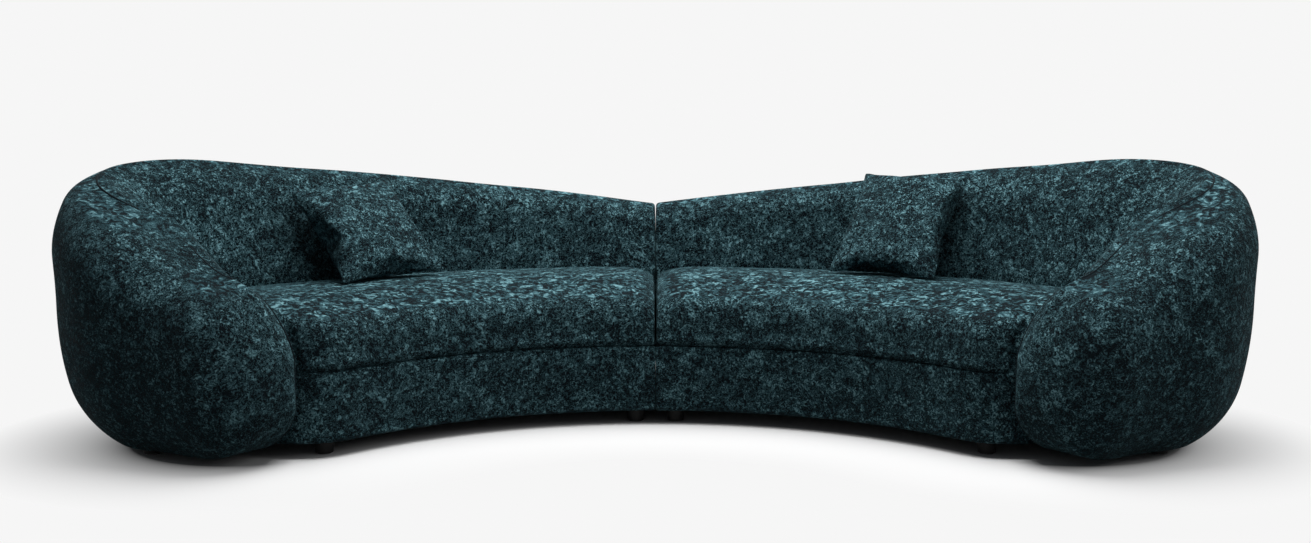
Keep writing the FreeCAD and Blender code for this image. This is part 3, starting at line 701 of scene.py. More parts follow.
@dataclass
class WrapWall:
    """The back and arm as one upholstered wall, from the joint round the corner to the nose."""

    plan: RingPlan
    velvet: Material
    sections: dict[str, dict[str, float]] = field(default_factory=lambda: {
        place: dict(zip(SECTION_SIZES, sizes)) for place, sizes in {
            "joint": (626.0, 240.0, 165.0, 45.0, 118.0, 10.0, 0.79, 0.0),
            "corner": (811.0, 286.0, 172.0, 38.0, 208.0, 17.2, 0.854, 22.0),
            "arm": (673.0, 422.0, 273.0, 30.0, 123.0, 24.4, 0.854, 34.0),
            "nose": (514.0, 351.0, 232.0, 34.0, 129.0, 10.0, 0.79, 34.0),
        }.items()
    })
    # Powers of the share of the way, by which the sizes are late to change.
    late_back: float = 3.0
    late_offset: float = 3.4
    late_corner: float = 2.1
    late_arm: float = 1.5
    crest_sag: float = 0.13
    corner_flare: float = 84.0
    corner_lean: float = 4.9
    lean_start: float = 440.0
    lean_share: float = 0.62
    belly_share: float = 0.55
    ridge_fall: float = 0.35
    hem_run: tuple[float, float] = (-0.83, -0.56)
    # Roundings of the inner foot: at the corner, at the arm's end and round the nose.
    foot_rounds: Triple = (6.0, 46.0, 80.0)
    nose_start: float = 1330.0
    nose_length: float = 166.0
    nose_axis: tuple[float, float] = (100.0, 236.0)
    end_round: float = 13.0
    joint_fade: float = 40.0
    swell: tuple[float, float] = (3.0, 260.0)
    # Points along inner face, lean, crest, shoulder, belly, underside and foot of a section.
    steps: tuple[int, ...] = (12, 20, 16, 12, 14, 12, 6)
    # Stations along back, corner, arm and nose, and rows of the mesh between two of them.
    back_stations: int = 9
    corner_shares: tuple[float, ...] = (0.25, 0.5, 0.75, 1.0)
    arm_shares: tuple[float, ...] = (0.5, 1.0)
    nose_turns: tuple[float, ...] = (22.0, 43.0, 62.0, 80.0, 100.0)
    span_rows: tuple[int, ...] = (14, 16, 14, 10)
    tip_rows: int = 7
    # The seam: where it starts and leaves the crest, how many columns it lies behind the
    # crest at the joint, the turn of the nose at which it goes down the inner face, and its
    # distances from that face at the nose's start, at that turn and at the hem.
    seam_start: float = 6.0
    seam_lead: float = 30.0
    seam_behind: float = 9.0
    seam_turn: float = 54.0
    seam_across: Triple = (122.0, 41.0, 96.0)
    seam_sweep: tuple[float, float] = (1.25, 0.8)
    seam_end: float = 0.08
    seam_points: tuple[int, int, int, int] = (150, 34, 24, 26)
    welt_radius: float = 3.1
    welt_sides: int = 8
    welt_lift: float = 0.35
    welt_step: float = 6.0
    welt_easing: int = 30
    # The ribs: where they stand along back and arm, and what they leave for foam and panel.
    back_formers: tuple[float, ...] = (0.014, 0.2, 0.4, 0.6, 0.8, 1.0)
    arm_formers: tuple[float, ...] = (0.12, 0.85)
    former_thickness: float = 18.0
    foam_depth: float = 50.0
    panel_top: float = 63.0
    board_back: float = 50.8
    stations: Array = field(init=False)
    points: Array = field(init=False)
    normals: Array = field(init=False)
    faces: list[Face] = field(init=False)
    tree: BVHTree = field(init=False)

    @property
    def top_column(self) -> int:
        """Column of a section at which the crest lies."""
        return self.steps[0] + 2 * self.steps[1] - 1

    @property
    def hem_column(self) -> int:
        """Column of a section at which the outer face has reached the hem."""
        return self.steps[0] + 2 * sum(self.steps[1:5])

    @property
    def nose_index(self) -> int:
        """Number of the station at which the nose starts."""
        return self.back_stations - 1 + len(self.corner_shares) + len(self.arm_shares)

    def between(
        self, start: str, end: str, share: float, shares: dict[str, float] | None = None,
    ) -> dict[str, float]:
        """Sizes of a section between two named places.

        Args:
            start: the place before it.
            end: the place after it.
            share: share of the way between them.
            shares: other shares, for the sizes that change at a rate of their own.

        Returns:
            The section's sizes by name.
        """
        sizes = {}
        for name, value in self.sections[start].items():
            part = (shares or {}).get(name, share)
            sizes[name] = value * (1 - part) + self.sections[end][name] * part
        return sizes

    def back_station(self, share: float) -> Station:
        """Station at a share of the way from the joint to the corner.

        Args:
            share: share of the way.

        Returns:
            The station.
        """
        ray = self.plan.radial(self.plan.corner_start * share)
        late = {"crest": (1 + self.crest_sag) * share - self.crest_sag * share ** 2}
        late["wall"] = late["fullness"] = share ** self.late_back
        late["offset"] = late["lean"] = share ** self.late_offset
        return Station(ray * self.plan.back_radius, ray, self.between("joint", "corner", share, late))

    def corner_station(self, share: float) -> Station:
        """Station at a share of the turn round the inner corner.

        Args:
            share: share of the turn.

        Returns:
            The station.
        """
        ray = self.plan.radial(self.plan.corner_start + self.plan.corner_sweep * share)
        pivot = self.plan.radial(self.plan.corner_start) * self.plan.corner_centre_radius
        sizes = self.between("corner", "arm", share, {"crest": share ** self.late_corner})
        bend = 4 * share * (1 - share)
        sizes["offset"] += self.corner_flare * bend
        sizes["lean"] += self.corner_lean * bend
        return Station(pivot + ray * self.plan.corner_radius, ray, sizes)

    def arm_station(self, share: float) -> Station:
        """Station at a share of the straight run from the corner to the nose.

        Args:
            share: share of the run.

        Returns:
            The station.
        """
        reach = self.plan.arm_root * (1 - share) + self.nose_start * share
        corner_foot, arm_foot, _ = self.foot_rounds
        return Station(
            self.plan.radial(self.plan.seat_end) * reach, self.plan.radial(self.plan.seat_end + math.pi / 2),
            self.between("arm", "nose", share, {"wall": share ** self.late_arm}),
            foot_round=corner_foot + (arm_foot - corner_foot) * share,
        )

    def nose_station(self, turn: float) -> Station:
        """Station of the rounded nose at a turn in degrees, drawn in towards its axis.

        Args:
            turn: turn round the nose, in degrees.

        Returns:
            The station.
        """
        last = self.arm_station(1.0)
        tip = self.nose_start - self.nose_length * math.sin(math.radians(turn))
        return Station(
            self.plan.radial(self.plan.seat_end) * tip, last.facing, last.sizes,
            foot_round=self.foot_rounds[2], scale=math.cos(math.radians(turn)),
        )

    def outline(self, station: Station) -> Array:
        """Closed flat outline of a section, from the inner foot up, over and back.

        Args:
            station: the station that it belongs to.

        Returns:
            Array of points by distance from the inner face and height.
        """
        crest, width, hem_width, low, offset, lean, fullness, ridge = (
            station.sizes[name] for name in SECTION_SIZES
        )
        ridge, lean = math.radians(ridge), math.radians(lean)
        lean_start = min(self.lean_start, low + (crest - low) * self.lean_share)
        top = pair(offset, crest)
        belly = pair(width, low + (crest - low) * self.belly_share)
        shoulder = belly + (top - belly) * pair(1 - fullness, fullness)
        slope = belly - top
        hem = pair(hem_width, low)
        lean_point = pair(0.0, lean_start)
        foot = pair(0.0, low + station.foot_round)
        rising = pair(math.cos(ridge), math.sin(ridge))
        falling = pair(math.cos(ridge * self.ridge_fall), -math.sin(ridge * self.ridge_fall))
        down = pair(0.0, -1.0)
        under = pair(station.foot_round, low)
        parts = [
            line_points(foot, lean_point, self.steps[0]),
            biarc_points(lean_point, pair(math.sin(lean), math.cos(lean)), top, rising, self.steps[1]),
            biarc_points(top, falling, shoulder, slope, self.steps[2]),
            biarc_points(shoulder, slope, belly, down, self.steps[3]),
            biarc_points(belly, down, hem, np.array(self.hem_run), self.steps[4]),
            line_points(hem, under, self.steps[5]),
            arc_points(under, pair(-1.0, 0.0), foot, self.steps[6]),
        ]
        points = np.concatenate(parts)
        centre = np.array(self.nose_axis)
        return centre + (points - centre) * station.scale

    def section(self, station: Station) -> Array:
        """Section's points in space, in millimetres about the ring centre.

        Args:
            station: the station that it belongs to.

        Returns:
            Array of points.
        """
        outline = self.outline(station)
        flat = station.origin + np.outer(outline[:, 0], station.facing)
        return np.column_stack([flat, outline[:, 1]])

    def shape(self) -> None:
        """Work out the wall's points, faces, search tree and stations."""
        listed = [self.back_station(share) for share in np.linspace(0, 1, self.back_stations)]
        listed += [self.corner_station(share) for share in self.corner_shares]
        listed += [self.arm_station(share) for share in self.arm_shares]
        listed += [self.nose_station(turn) for turn in self.nose_turns]
        self.stations = np.array([self.section(station) for station in listed])
        knots = station_knots(self.stations)
        pole = (knots[-1] + knots[-2]) / 2
        arcs = (self.corner_shares, self.arm_shares, self.nose_turns[1:])
        spans = [self.back_stations - 1] + [len(arc) for arc in arcs]
        places = list(END_STEPS)
        for index, steps in enumerate(np.repeat(self.span_rows, spans)):
            first = max(knots[index], EVEN_START)
            places += np.linspace(first, knots[index + 1], steps, endpoint=False).tolist()
        places += np.linspace(knots[-2], pole, self.tip_rows, endpoint=False).tolist()
        grid = through_stations(self.stations, np.array(places))
        normals = grid_normals(grid)
        grid = grid - normals * edge_inset(np.array(places), self.end_round)[:, None, None]
        tip = self.section_at(pole).mean(axis=0, keepdims=True)
        rows, columns = grid.shape[:2]
        self.points = np.concatenate([grid.reshape(-1, 3), tip])
        self.normals = np.concatenate([normals.reshape(-1, 3), np.zeros((1, 3))])
        self.faces = grid_faces(rows, columns) + [tuple(range(columns))]
        last = (rows - 1) * columns
        self.faces += [
            (last + column, rows * columns, last + (column + 1) % columns) for column in range(columns)
        ]
        self.tree = BVHTree.FromPolygons([Vector(point) for point in self.points], self.faces)

    def welt_path(self) -> Array:
        """Line of the seam: along the crest, then round the nose's inner edge to the hem.

        Returns:
            Points of the line in millimetres.
        """
        knots = station_knots(self.stations)
        nose = knots[self.nose_index]
        turns = (0.0,) + self.nose_turns[:-1]
        reach = self.nose_length * math.sin(math.radians(self.seam_turn))
        lead, inner, hem = self.seam_across
        crest_points, lead_points, face_points, hem_points = self.seam_points

        def place_at(ahead: float) -> float:
            """Place along the wall at a share of the way round the nose."""
            turn = math.degrees(math.asin(reach * ahead / self.nose_length))
            return float(np.interp(turn, turns, knots[self.nose_index:-1]))

        path = []
        for place in np.linspace(self.seam_start, nose - self.seam_lead, crest_points):
            shift = self.seam_behind * (1 - place / nose) ** 0.5
            path.append(self.on_surface(place, self.top_column + 1.0 + shift))
        for ahead in np.linspace(0.0, 1.0, lead_points)[1:]:
            sideways = lead - (lead - inner) * ahead ** self.seam_sweep[0]
            path.append(self.matching(place_at(ahead), sideways, upper=True))
        start = self.column_at(place_at(1.0), path[-1])
        for column in np.linspace(start, 0.0, face_points)[1:]:
            path.append(self.on_surface(place_at(1.0), column))
        for ahead in np.linspace(1.0, self.seam_end, hem_points)[1:]:
            sideways = inner + (hem - inner) * (1 - ahead) ** self.seam_sweep[1]
            path.append(self.matching(place_at(ahead), sideways, upper=False))
        return np.array(path)

    def section_at(self, place: float) -> Array:
        """Section's points at a place along the wall."""
        return through_stations(self.stations, np.array([place]))[0]

    def on_surface(self, place: float, column: float) -> Array:
        """Point of the wall's surface at a place along it and a column round it.

        Args:
            place: distance along the wall.
            column: column of the section, also between two of them.

        Returns:
            The point.
        """
        section = self.section_at(place)
        low = int(math.floor(column)) % len(section)
        high = (low + 1) % len(section)
        share = column - math.floor(column)
        return section[low] * (1 - share) + section[high] * share

    def matching(self, place: float, sideways: float, upper: bool) -> Array:
        """Point of the surface at a distance from the plane of the arm's inner face.

        Args:
            place: place of the section along the wall.
            sideways: distance from that plane.
            upper: whether the point lies at the crest, or else at the underside.

        Returns:
            The point.
        """
        section = self.section_at(place)
        last = self.arm_station(1.0)
        distances = (section[:, :2] - last.origin) @ last.facing
        if upper:
            columns = np.arange(self.steps[0] - 2, self.top_column + 12)
        else:
            count = len(section)
            columns = np.concatenate([[0], np.arange(count - 1, count - sum(self.steps[5:]), -1)])
        column = columns[np.argsort(distances[columns])]
        return np.array([np.interp(sideways, distances[column], section[column, axis]) for axis in range(3)])

    def column_at(self, place: float, point: Array) -> float:
        """Column of the section at a place that lies nearest to a point."""
        section = self.section_at(place)
        return float(np.argmin(np.linalg.norm(section[:self.top_column] - point, axis=1)))

    def build(self, side: Side, seam: Material) -> None:
        """Make this wall's mesh and its seam for one module.

        Args:
            side: the module.
            seam: near-black finish of the welt, painted shade that stands for the shadow in the seam's
                groove.
        """
        name = side.prefix + "_back_and_arm"
        normals = self.normals.copy()
        normals[:, 0] *= np.clip(-self.points[:, 0] / self.joint_fade, 0.0, 1.0)
        points = soft_swell(self.points, normals, *self.swell, seed=3.0 * side.value)
        placed = self.plan.placed(points, side)
        piece = mesh_object(name + "_cover", placed, self.faces, side is Side.RIGHT, self.velvet)
        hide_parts(name)
        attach(piece, side.body)
        LOG.info("built %s with %d faces", piece.name, len(self.faces))
        rings = tube_points(self.smoothed(self.welt_path()), self.welt_radius, self.welt_sides)
        placed = self.plan.placed(rings.reshape(-1, 3), side)
        faces = capped_faces(*rings.shape[:2])
        # The welt's near-black finish is painted shade: the shadow of the seam's groove.
        welt = mesh_object(name + "_welt", placed, faces, side is Side.RIGHT, seam)
        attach(welt, side.body)
        LOG.info("built %s", welt.name)

    def former(self, station: Station) -> tuple[Array, list[Face]]:
        """Plywood rib that fills a section of the wall inside its foam.

        Args:
            station: section that it stands in.

        Returns:
            Points about the ring centre, and faces.
        """
        outline = self.outline(station)[:self.hem_column]
        along = np.gradient(outline, axis=0)
        along /= np.linalg.norm(along, axis=1)[:, None] + 1e-9
        inner = outline + np.column_stack([along[:, 1], -along[:, 0]]) * self.foam_depth
        inner = inner[inner[:, 1] > self.panel_top + 1.0]
        inner[:, 0] = np.maximum(inner[:, 0], self.board_back)
        foot = np.array([[self.board_back, self.panel_top], [inner[-1, 0], self.panel_top]])
        flat = np.concatenate([foot[:1], inner, foot[1:]])
        across = np.array([-station.facing[1], station.facing[0]])
        sheets = []
        for half in (-0.5, 0.5):
            ground = station.origin + np.outer(flat[:, 0], station.facing)
            ground += across * self.former_thickness * half
            sheets.append(np.column_stack([ground, flat[:, 1]]))
        count = len(flat)
        faces: list[Face] = [tuple(range(count)), tuple(range(2 * count - 1, count - 1, -1))]
        faces += [
            (index, index + count, (index + 1) % count + count, (index + 1) % count) for index in range(count)
        ]
        return np.concatenate(sheets), faces

    def build_formers(self, side: Side, plywood: Material) -> None:
        """Make the ribs, cut to the flared corner, in place of the plain ones.

        Args:
            side: the module.
            plywood: finish of the ribs.
        """
        listed = [self.back_station(share) for share in self.back_formers]
        listed += [self.corner_station(0.5)] + [self.arm_station(share) for share in self.arm_formers]
        points: list[Array] = []
        faces: list[Face] = []
        for station in listed:
            first = sum(len(part) for part in points)
            rib, sides = self.former(station)
            points.append(rib)
            faces += [tuple(number + first for number in face) for face in sides]
        name = side.prefix + "_formers"
        placed = self.plan.placed(np.concatenate(points), side)
        piece = mesh_object(name + "_ribs", placed, faces, side is Side.RIGHT, plywood)
        piece.data.polygons.foreach_set("use_smooth", [False] * len(faces))
        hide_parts(name)
        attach(piece, side.body)
        LOG.info("built %s with %d ribs", piece.name, len(listed))

    def smoothed(self, path: Array) -> Array:
        """Path resampled evenly and eased, so that the welt runs in one sweep.

        Args:
            path: points of the line.

        Returns:
            The eased points, lying on the wall.
        """
        steps = np.concatenate([[0.0], np.cumsum(np.linalg.norm(np.diff(path, axis=0), axis=1))])
        wanted = np.linspace(0, steps[-1], int(steps[-1] / self.welt_step))
        even = np.column_stack([np.interp(wanted, steps, path[:, axis]) for axis in range(3)])
        for _ in range(self.welt_easing):
            even[1:-1] = even[1:-1] * 0.5 + (even[:-2] + even[2:]) * 0.25
        eased = []
        for point in even:
            location, normal, _, _ = self.tree.find_nearest(Vector(point))
            eased.append(np.array(location) + np.array(normal) * self.welt_radius * self.welt_lift)
        return np.array(eased)


def tucked(grid: Array, normals: Array, tree: BVHTree, radius: float, keep: int) -> Array:
    """Draw a surface in where it meets the wall, so that it rolls down into the crevice.

    Args:
        grid: points in millimetres.
        normals: outward normals of the points.
        tree: search tree of the wall.
        radius: size of the roll.
        keep: sign of the faces up (1) or down (-1) that stay, as they rest on a neighbour.

    Returns:
        The moved points.
    """
    pull = normals.copy()
    pull[..., 2] = np.minimum(pull[..., 2], 0.0) if keep > 0 else np.maximum(pull[..., 2], 0.0)
    moved = grid.copy()
    for index in np.ndindex(grid.shape[:2]):
        location, normal, _, distance = tree.find_nearest(Vector(grid[index]), radius * 3)
        if location is None:
            continue
        signed = distance if (Vector(grid[index]) - location).dot(normal) > 0 else -distance
        if signed < radius:
            moved[index] -= pull[index] * float(edge_inset(np.array(max(signed, 0.0)), radius))
    return moved


@dataclass
class RadialPiece:
    """A padded piece lofted through radial sections, from the joint into the arm."""

    plan: RingPlan
    velvet: Material
    wall: WrapWall
    end_round: float = 9.0
    crevice: float = 8.0
    swell: tuple[float, float] = (2.5, 240.0)
    # Spacing of the sections along the ring and where it ends before the arm's face, then the
    # closer spacing, how far before the face it starts and how far it runs into the arm.
    spacing: float = 13.0
    even_stop: float = 50.0
    arm_spacing: float = 5.0
    arm_lead: float = 46.0
    arm_reach: float = 70.0

    def places(self, first: tuple[float, ...], start: float, end: float) -> list[float]:
        """Distances of the sections from the joint, after the first ones on its rounded end.

        Args:
            first: distances on the rounded end.
            start: where the even ones start.
            end: where the arm's face is.

        Returns:
            All distances.
        """
        even = np.arange(start, end - self.even_stop, self.spacing)
        close = np.arange(end - self.arm_lead, end + self.arm_reach, self.arm_spacing)
        return [*first, *even.tolist(), *close.tolist()]

    def outline(self, angle: float, distance: float) -> Array:
        """Closed flat outline of a radial section, by radius and height.

        Args:
            angle: angle from the joint, in radians.
            distance: distance from the joint, in millimetres.

        Returns:
            Array of points.
        """
        raise NotImplementedError

    def lofted(
        self, distances: list[float], radius: float, keep: int, seed: float,
    ) -> tuple[Array, list[Face]]:
        """Loft the piece, round its end, tuck it in at the wall and make it a little uneven.

        Args:
            distances: places of the sections along the ring.
            radius: radius of the ring on which they are measured.
            keep: sign of the faces, up or down, that stay where they meet the wall.
            seed: shifts the unevenness.

        Returns:
            Points about the ring centre, and faces.
        """
        rows = []
        for distance in distances:
            angle = distance / radius
            outline = self.outline(angle, distance)
            rows.append(np.column_stack([np.outer(outline[:, 0], self.plan.radial(angle)), outline[:, 1]]))
        grid = np.array(rows)
        normals = grid_normals(grid)
        grid = grid - normals * edge_inset(np.array(distances), self.end_round)[:, None, None]
        grid = tucked(grid, normals, self.wall.tree, self.crevice, keep)
        grid = soft_swell(grid, normals, *self.swell, seed=seed)
        return grid.reshape(-1, 3), capped_faces(*grid.shape[:2])


@dataclass
class SeatCushion(RadialPiece):
    """The fixed seat cushion: a crowned top, a bulged front and a rounded end at the joint."""

    bottom: float = 247.5
    edge_height: float = 398.0
    crown_height: float = 436.0
    back_height: float = 414.0
    face_share: float = 0.42
    front_round: float = 54.0
    foot_set: float = 9.0
    rear_reach: float = 14.0
    end_drop: float = 46.0
    end_set: float = 0.2
    # Distances of the sections on the rounded end, and where the even ones start.
    end_steps: tuple[float, ...] = END_STEPS + (18.0, 26.0, 36.0, 48.0, 62.0, 80.0, 100.0)
    even_start: float = 118.0

    def drop(self, distance: float) -> float:
        """How far the top falls at a distance from the joint.

        Args:
            distance: distance from the joint.

        Returns:
            The fall in millimetres.
        """
        reach = self.end_steps[-1]
        if distance >= reach:
            return 0.0
        return self.end_drop * (1 - math.sqrt(1 - (1 - distance / reach) ** 2))

    def outline(self, angle: float, distance: float) -> Array:
        """Closed flat outline of a radial section, by radius and height.

        Args:
            angle: angle from the joint, in radians.
            distance: distance from the joint, in millimetres.

        Returns:
            Array of points.
        """
        drop = self.drop(distance)
        front = self.plan.front_radius(angle) + self.end_set * drop
        low = self.bottom
        edge_z = self.edge_height - drop
        rear = self.plan.back_radius + self.rear_reach
        foot = pair(front + self.foot_set, low)
        face = pair(front, low + (edge_z - low) * self.face_share)
        edge = pair(front + self.front_round, edge_z)
        crown = pair(self.plan.seat_front_radius + self.plan.seat_depth * 0.5, self.crown_height - drop)
        back = pair(rear, self.back_height - drop)
        up, rise, across = pair(0.0, 1.0), pair(1.0, 0.25), pair(1.0, 0.0)
        return np.concatenate([
            biarc_points(foot, pair(-1.0, 0.35), face, up, 9),
            biarc_points(face, up, edge, rise, 11),
            biarc_points(edge, rise, crown, across, 9),
            biarc_points(crown, across, back, pair(1.0, -0.14), 16),
            line_points(back, pair(rear, low), 6),
            line_points(pair(rear, low), foot, 10),
        ])

    def build(self, side: Side) -> None:
        """Make the cushion's mesh for one module.

        Args:
            side: the module.
        """
        middle = self.plan.seat_front_radius + self.plan.seat_depth / 2
        distances = self.places(self.end_steps, self.even_start, self.plan.seat_end * middle)
        points, faces = self.lofted(distances, middle, keep=-1, seed=5.0 + side.value)
        name = side.prefix + "_seat_cushion"
        placed = self.plan.placed(points, side)
        piece = mesh_object(name + "_cover", placed, faces, side is Side.RIGHT, self.velvet)
        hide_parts(name)
        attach(piece, side.body)
        LOG.info("built %s with %d faces", piece.name, len(faces))


@dataclass
class FrontBorder(RadialPiece):
    """The padded panel under the seat, down to the hem."""

    end_round: float = 8.0
    crevice: float = 5.0
    swell: tuple[float, float] = (1.2, 180.0)
    top: float = 247.0
    edge_round: float = 9.0
    bulge: float = 1.5
    spacing: float = 14.0
    even_stop: float = 40.0
    arm_lead: float = 38.0
    arm_reach: float = 60.0

    def outline(self, angle: float, distance: float) -> Array:
        """Closed flat outline of a radial section, by radius and height.

        Args:
            angle: angle from the joint, in radians.
            distance: distance from the joint, in millimetres; not used here.

        Returns:
            Array of points.
        """
        front = self.plan.front_radius(angle)
        rear = front + self.plan.border_thickness
        soft = front + self.edge_round
        low, high = self.plan.base_height, self.top
        rear_low, rear_high = pair(rear, low), pair(rear, high)
        top, face_top = pair(soft, high), pair(front, high - self.edge_round)
        bottom, face_low = pair(soft, low), pair(front, low + self.edge_round)
        middle = pair(front - self.bulge, (low + high) / 2)
        down = pair(0.0, -1.0)
        return np.concatenate([
            line_points(rear_low, rear_high, 3),
            line_points(rear_high, top, 3),
            arc_points(top, pair(-1.0, 0.0), face_top, 6),
            biarc_points(face_top, pair(-0.03, -1.0), middle, pair(0.001, -1.0), 6),
            biarc_points(middle, down, face_low, pair(0.03, -1.0), 6),
            arc_points(face_low, down, bottom, 6),
            line_points(bottom, rear_low, 3),
        ])

    def build(self, side: Side) -> None:
        """Make the border's mesh for one module.

        Args:
            side: the module.
        """
        radius = self.plan.seat_front_radius
        distances = self.places(END_STEPS, EVEN_START, self.plan.seat_end * radius)
        points, faces = self.lofted(distances, radius, keep=1, seed=9.0 + side.value)
        name = side.prefix + "_front_border"
        placed = self.plan.placed(points, side)
        piece = mesh_object(name + "_cover", placed, faces, side is Side.LEFT, self.velvet)
        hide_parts(name)
        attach(piece, side.body)
        LOG.info("built %s with %d faces", piece.name, len(faces))


# The loose pillows.


@dataclass
class Pillow:
    """A loose knife-edged pillow, blown up from two flat squares sewn round the edge."""

    plan: RingPlan
    velvet: Material
    side: Side
    angle: float
    radius: float
    lean: float
    twist: float
    roll: float
    width: float
    height: float
    folds: tuple[tuple[float, float, float, float, float, float], ...] = ()
    cut: float = 424.0
    thickness: float = 128.0
    divisions: int = 44
    seat_top: float = 438.0
    # Height and unevenness of the flat sheets' first swell, in metres.
    first_swell: float = 0.006
    unevenness: float = 0.0035
    # Fullness of a filled pillow, and how far its sides and their middles are drawn in.
    fullness: float = 0.55
    shrink: float = 0.95
    waist: float = 0.04
    cloth_frames: int = 30
    fold_fade: float = 0.7
    fold_lip: float = 0.45

    def flat_grid(self) -> tuple[Array, list[Face]]:
        """Two square sheets joined at the edge, in metres, standing in the X Z plane.

        Returns:
            Points and faces of the sheets.
        """
        count = self.divisions
        points: list[Triple] = []
        numbers: dict[tuple[int, int, int], int] = {}
        half = self.cut / 2 * MM
        for sheet in (0, 1):
            for row in range(count + 1):
                for column in range(count + 1):
                    rim = row in (0, count) or column in (0, count)
                    key = (0 if rim else sheet, row, column)
                    if key in numbers:
                        numbers[(sheet, row, column)] = numbers[key]
                        continue
                    across = 2 * column / count - 1
                    up = 2 * row / count - 1
                    swell = self.first_swell * (1 - across ** 2) * (1 - up ** 2) * (1 if sheet else -1)
                    spot = Vector((across * 3.0, up * 3.0, 7.0 * sheet + self.angle))
                    swell += noise.noise(spot) * self.unevenness * (1 - across ** 2) * (1 - up ** 2)
                    numbers[key] = len(points)
                    numbers[(sheet, row, column)] = len(points)
                    points.append((across * half, swell, up * half))
        faces = []
        for sheet in (0, 1):
            for row in range(count):
                for column in range(count):
                    corners = ((0, 0), (1, 0), (1, 1), (0, 1))
                    quad = [numbers[(sheet, row + y, column + x)] for x, y in corners]
                    faces.append(tuple(quad if sheet == 0 else quad[::-1]))
        return np.array(points), faces

    def inflated(self, points: Array, faces: list[Face]) -> Array:
        """Points of the sewn squares after the filling has pushed them apart.

        Args:
            points: points of the flat sheets, in metres.
            faces: their faces.

        Returns:
            Points of the filled pillow, in metres.
        """
        piece = mesh_object("pillow_blank", points, faces, False, self.velvet)
        cloth = piece.modifiers.new("cloth", "CLOTH")
        settings = cloth.settings
        cloth_values = {
            "quality": 8, "mass": 0.25, "tension_stiffness": 40.0, "compression_stiffness": 40.0,
            "shear_stiffness": 25.0, "bending_stiffness": 1.4, "use_pressure": True,
            "uniform_pressure_force": 3.3,
        }
        for setting, value in cloth_values.items():
            setattr(settings, setting, value)
        settings.effector_weights.gravity = 0.0
        scene = bpy.context.scene
        for number in range(1, self.cloth_frames + 1):
            scene.frame_set(number)
        shown = piece.evaluated_get(bpy.context.evaluated_depsgraph_get())
        full = np.empty(len(points) * 3, np.float32)
        shown.data.vertices.foreach_get("co", full)
        bpy.data.objects.remove(piece)
        scene.frame_set(1)
        return full.reshape(-1, 3).astype(float)

    def folded(self, flat: Array, full: Array) -> Array:
        """Press the listed folds into the front of the filled pillow.

        Args:
            flat: points of the flat sheets.
            full: the same points of the filled pillow.

        Returns:
            The pressed points.
        """
        half = self.cut / 2 * MM
        front = flat[:, 1] < 1e-6
        place = np.column_stack([flat[:, 0], flat[:, 2]]) / half
        pressed = full.copy()
        for x_0, y_0, x_1, y_1, depth, width in self.folds:
            start = np.array([x_0, y_0])
            run = np.array([x_1, y_1]) - start
            share = np.clip(((place - start) @ run) / float(run @ run), 0.0, 1.0)
            away = np.linalg.norm(place - start - np.outer(share, run), axis=1) * half / MM
            deep = depth * (1 - share) ** self.fold_fade
            dent = deep * np.exp(-(away / width) ** 2)
            lip = self.fold_lip * deep * np.exp(-((away - 2.0 * width) / width) ** 2)
            pressed[:, 1] += np.where(front, (dent - lip) * MM, 0.0)
        return pressed

    def build(self) -> None:
        """Make the pillow, lay it on the seat and lean it back."""
        points, faces = self.flat_grid()
        full = self.folded(points, self.inflated(points, faces))
        spans = full.max(axis=0) - full.min(axis=0)
        full[:, 0] *= self.width * MM / spans[0]
        full[:, 1] *= min(1.0, self.thickness * MM / spans[1])
        full[:, 2] *= self.height * MM / spans[2]
        full = full @ np.array(Matrix.Rotation(math.radians(self.roll), 3, "Y")).T
        full[:, 2] -= full[:, 2].min()
        sign = -self.side.value
        yaw = math.radians(sign * (self.angle + self.twist))
        turn = Matrix.Rotation(yaw, 3, "Z") @ Matrix.Rotation(math.radians(-self.lean), 3, "X")
        spot = self.plan.radial(math.radians(sign * self.angle)) * self.radius
        placed = full @ np.array(turn).T
        placed += np.array([spot[0] * MM, (spot[1] + self.plan.ring_y) * MM, 0.0])
        placed[:, 2] += self.seat_top * MM - placed[:, 2].min()
        name = self.side.prefix + "_pillow"
        piece = mesh_object(name + "_case", placed, faces, False, self.velvet)
        smooth = piece.modifiers.new("smooth", "SUBSURF")
        smooth.levels = smooth.render_levels = 1
        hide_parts(name + "_cover", name + "_filling")
        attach(piece, name)
        LOG.info("built %s, %.0f mm thick before trimming", piece.name, spans[1] / MM)


# Floor, light and camera.


@dataclass(frozen=True)
class SoftLamp:
    """A soft rectangular lamp, with its place, aim and size in metres and its power in watts."""

    name: str
    place: Triple
    aim: Triple
    size: tuple[float, float]
    watts: float

    def hang(self) -> None:
        """Hang the lamp and turn it to its aim."""
        data = bpy.data.lights.new(self.name, "AREA")
        data.shape = "RECTANGLE"
        data.size, data.size_y = self.size
        data.energy = self.watts
        lamp = linked(self.name, data)
        lamp.location = self.place
        lamp.rotation_euler = (Vector(self.aim) - Vector(self.place)).to_track_quat("-Z", "Y").to_euler()


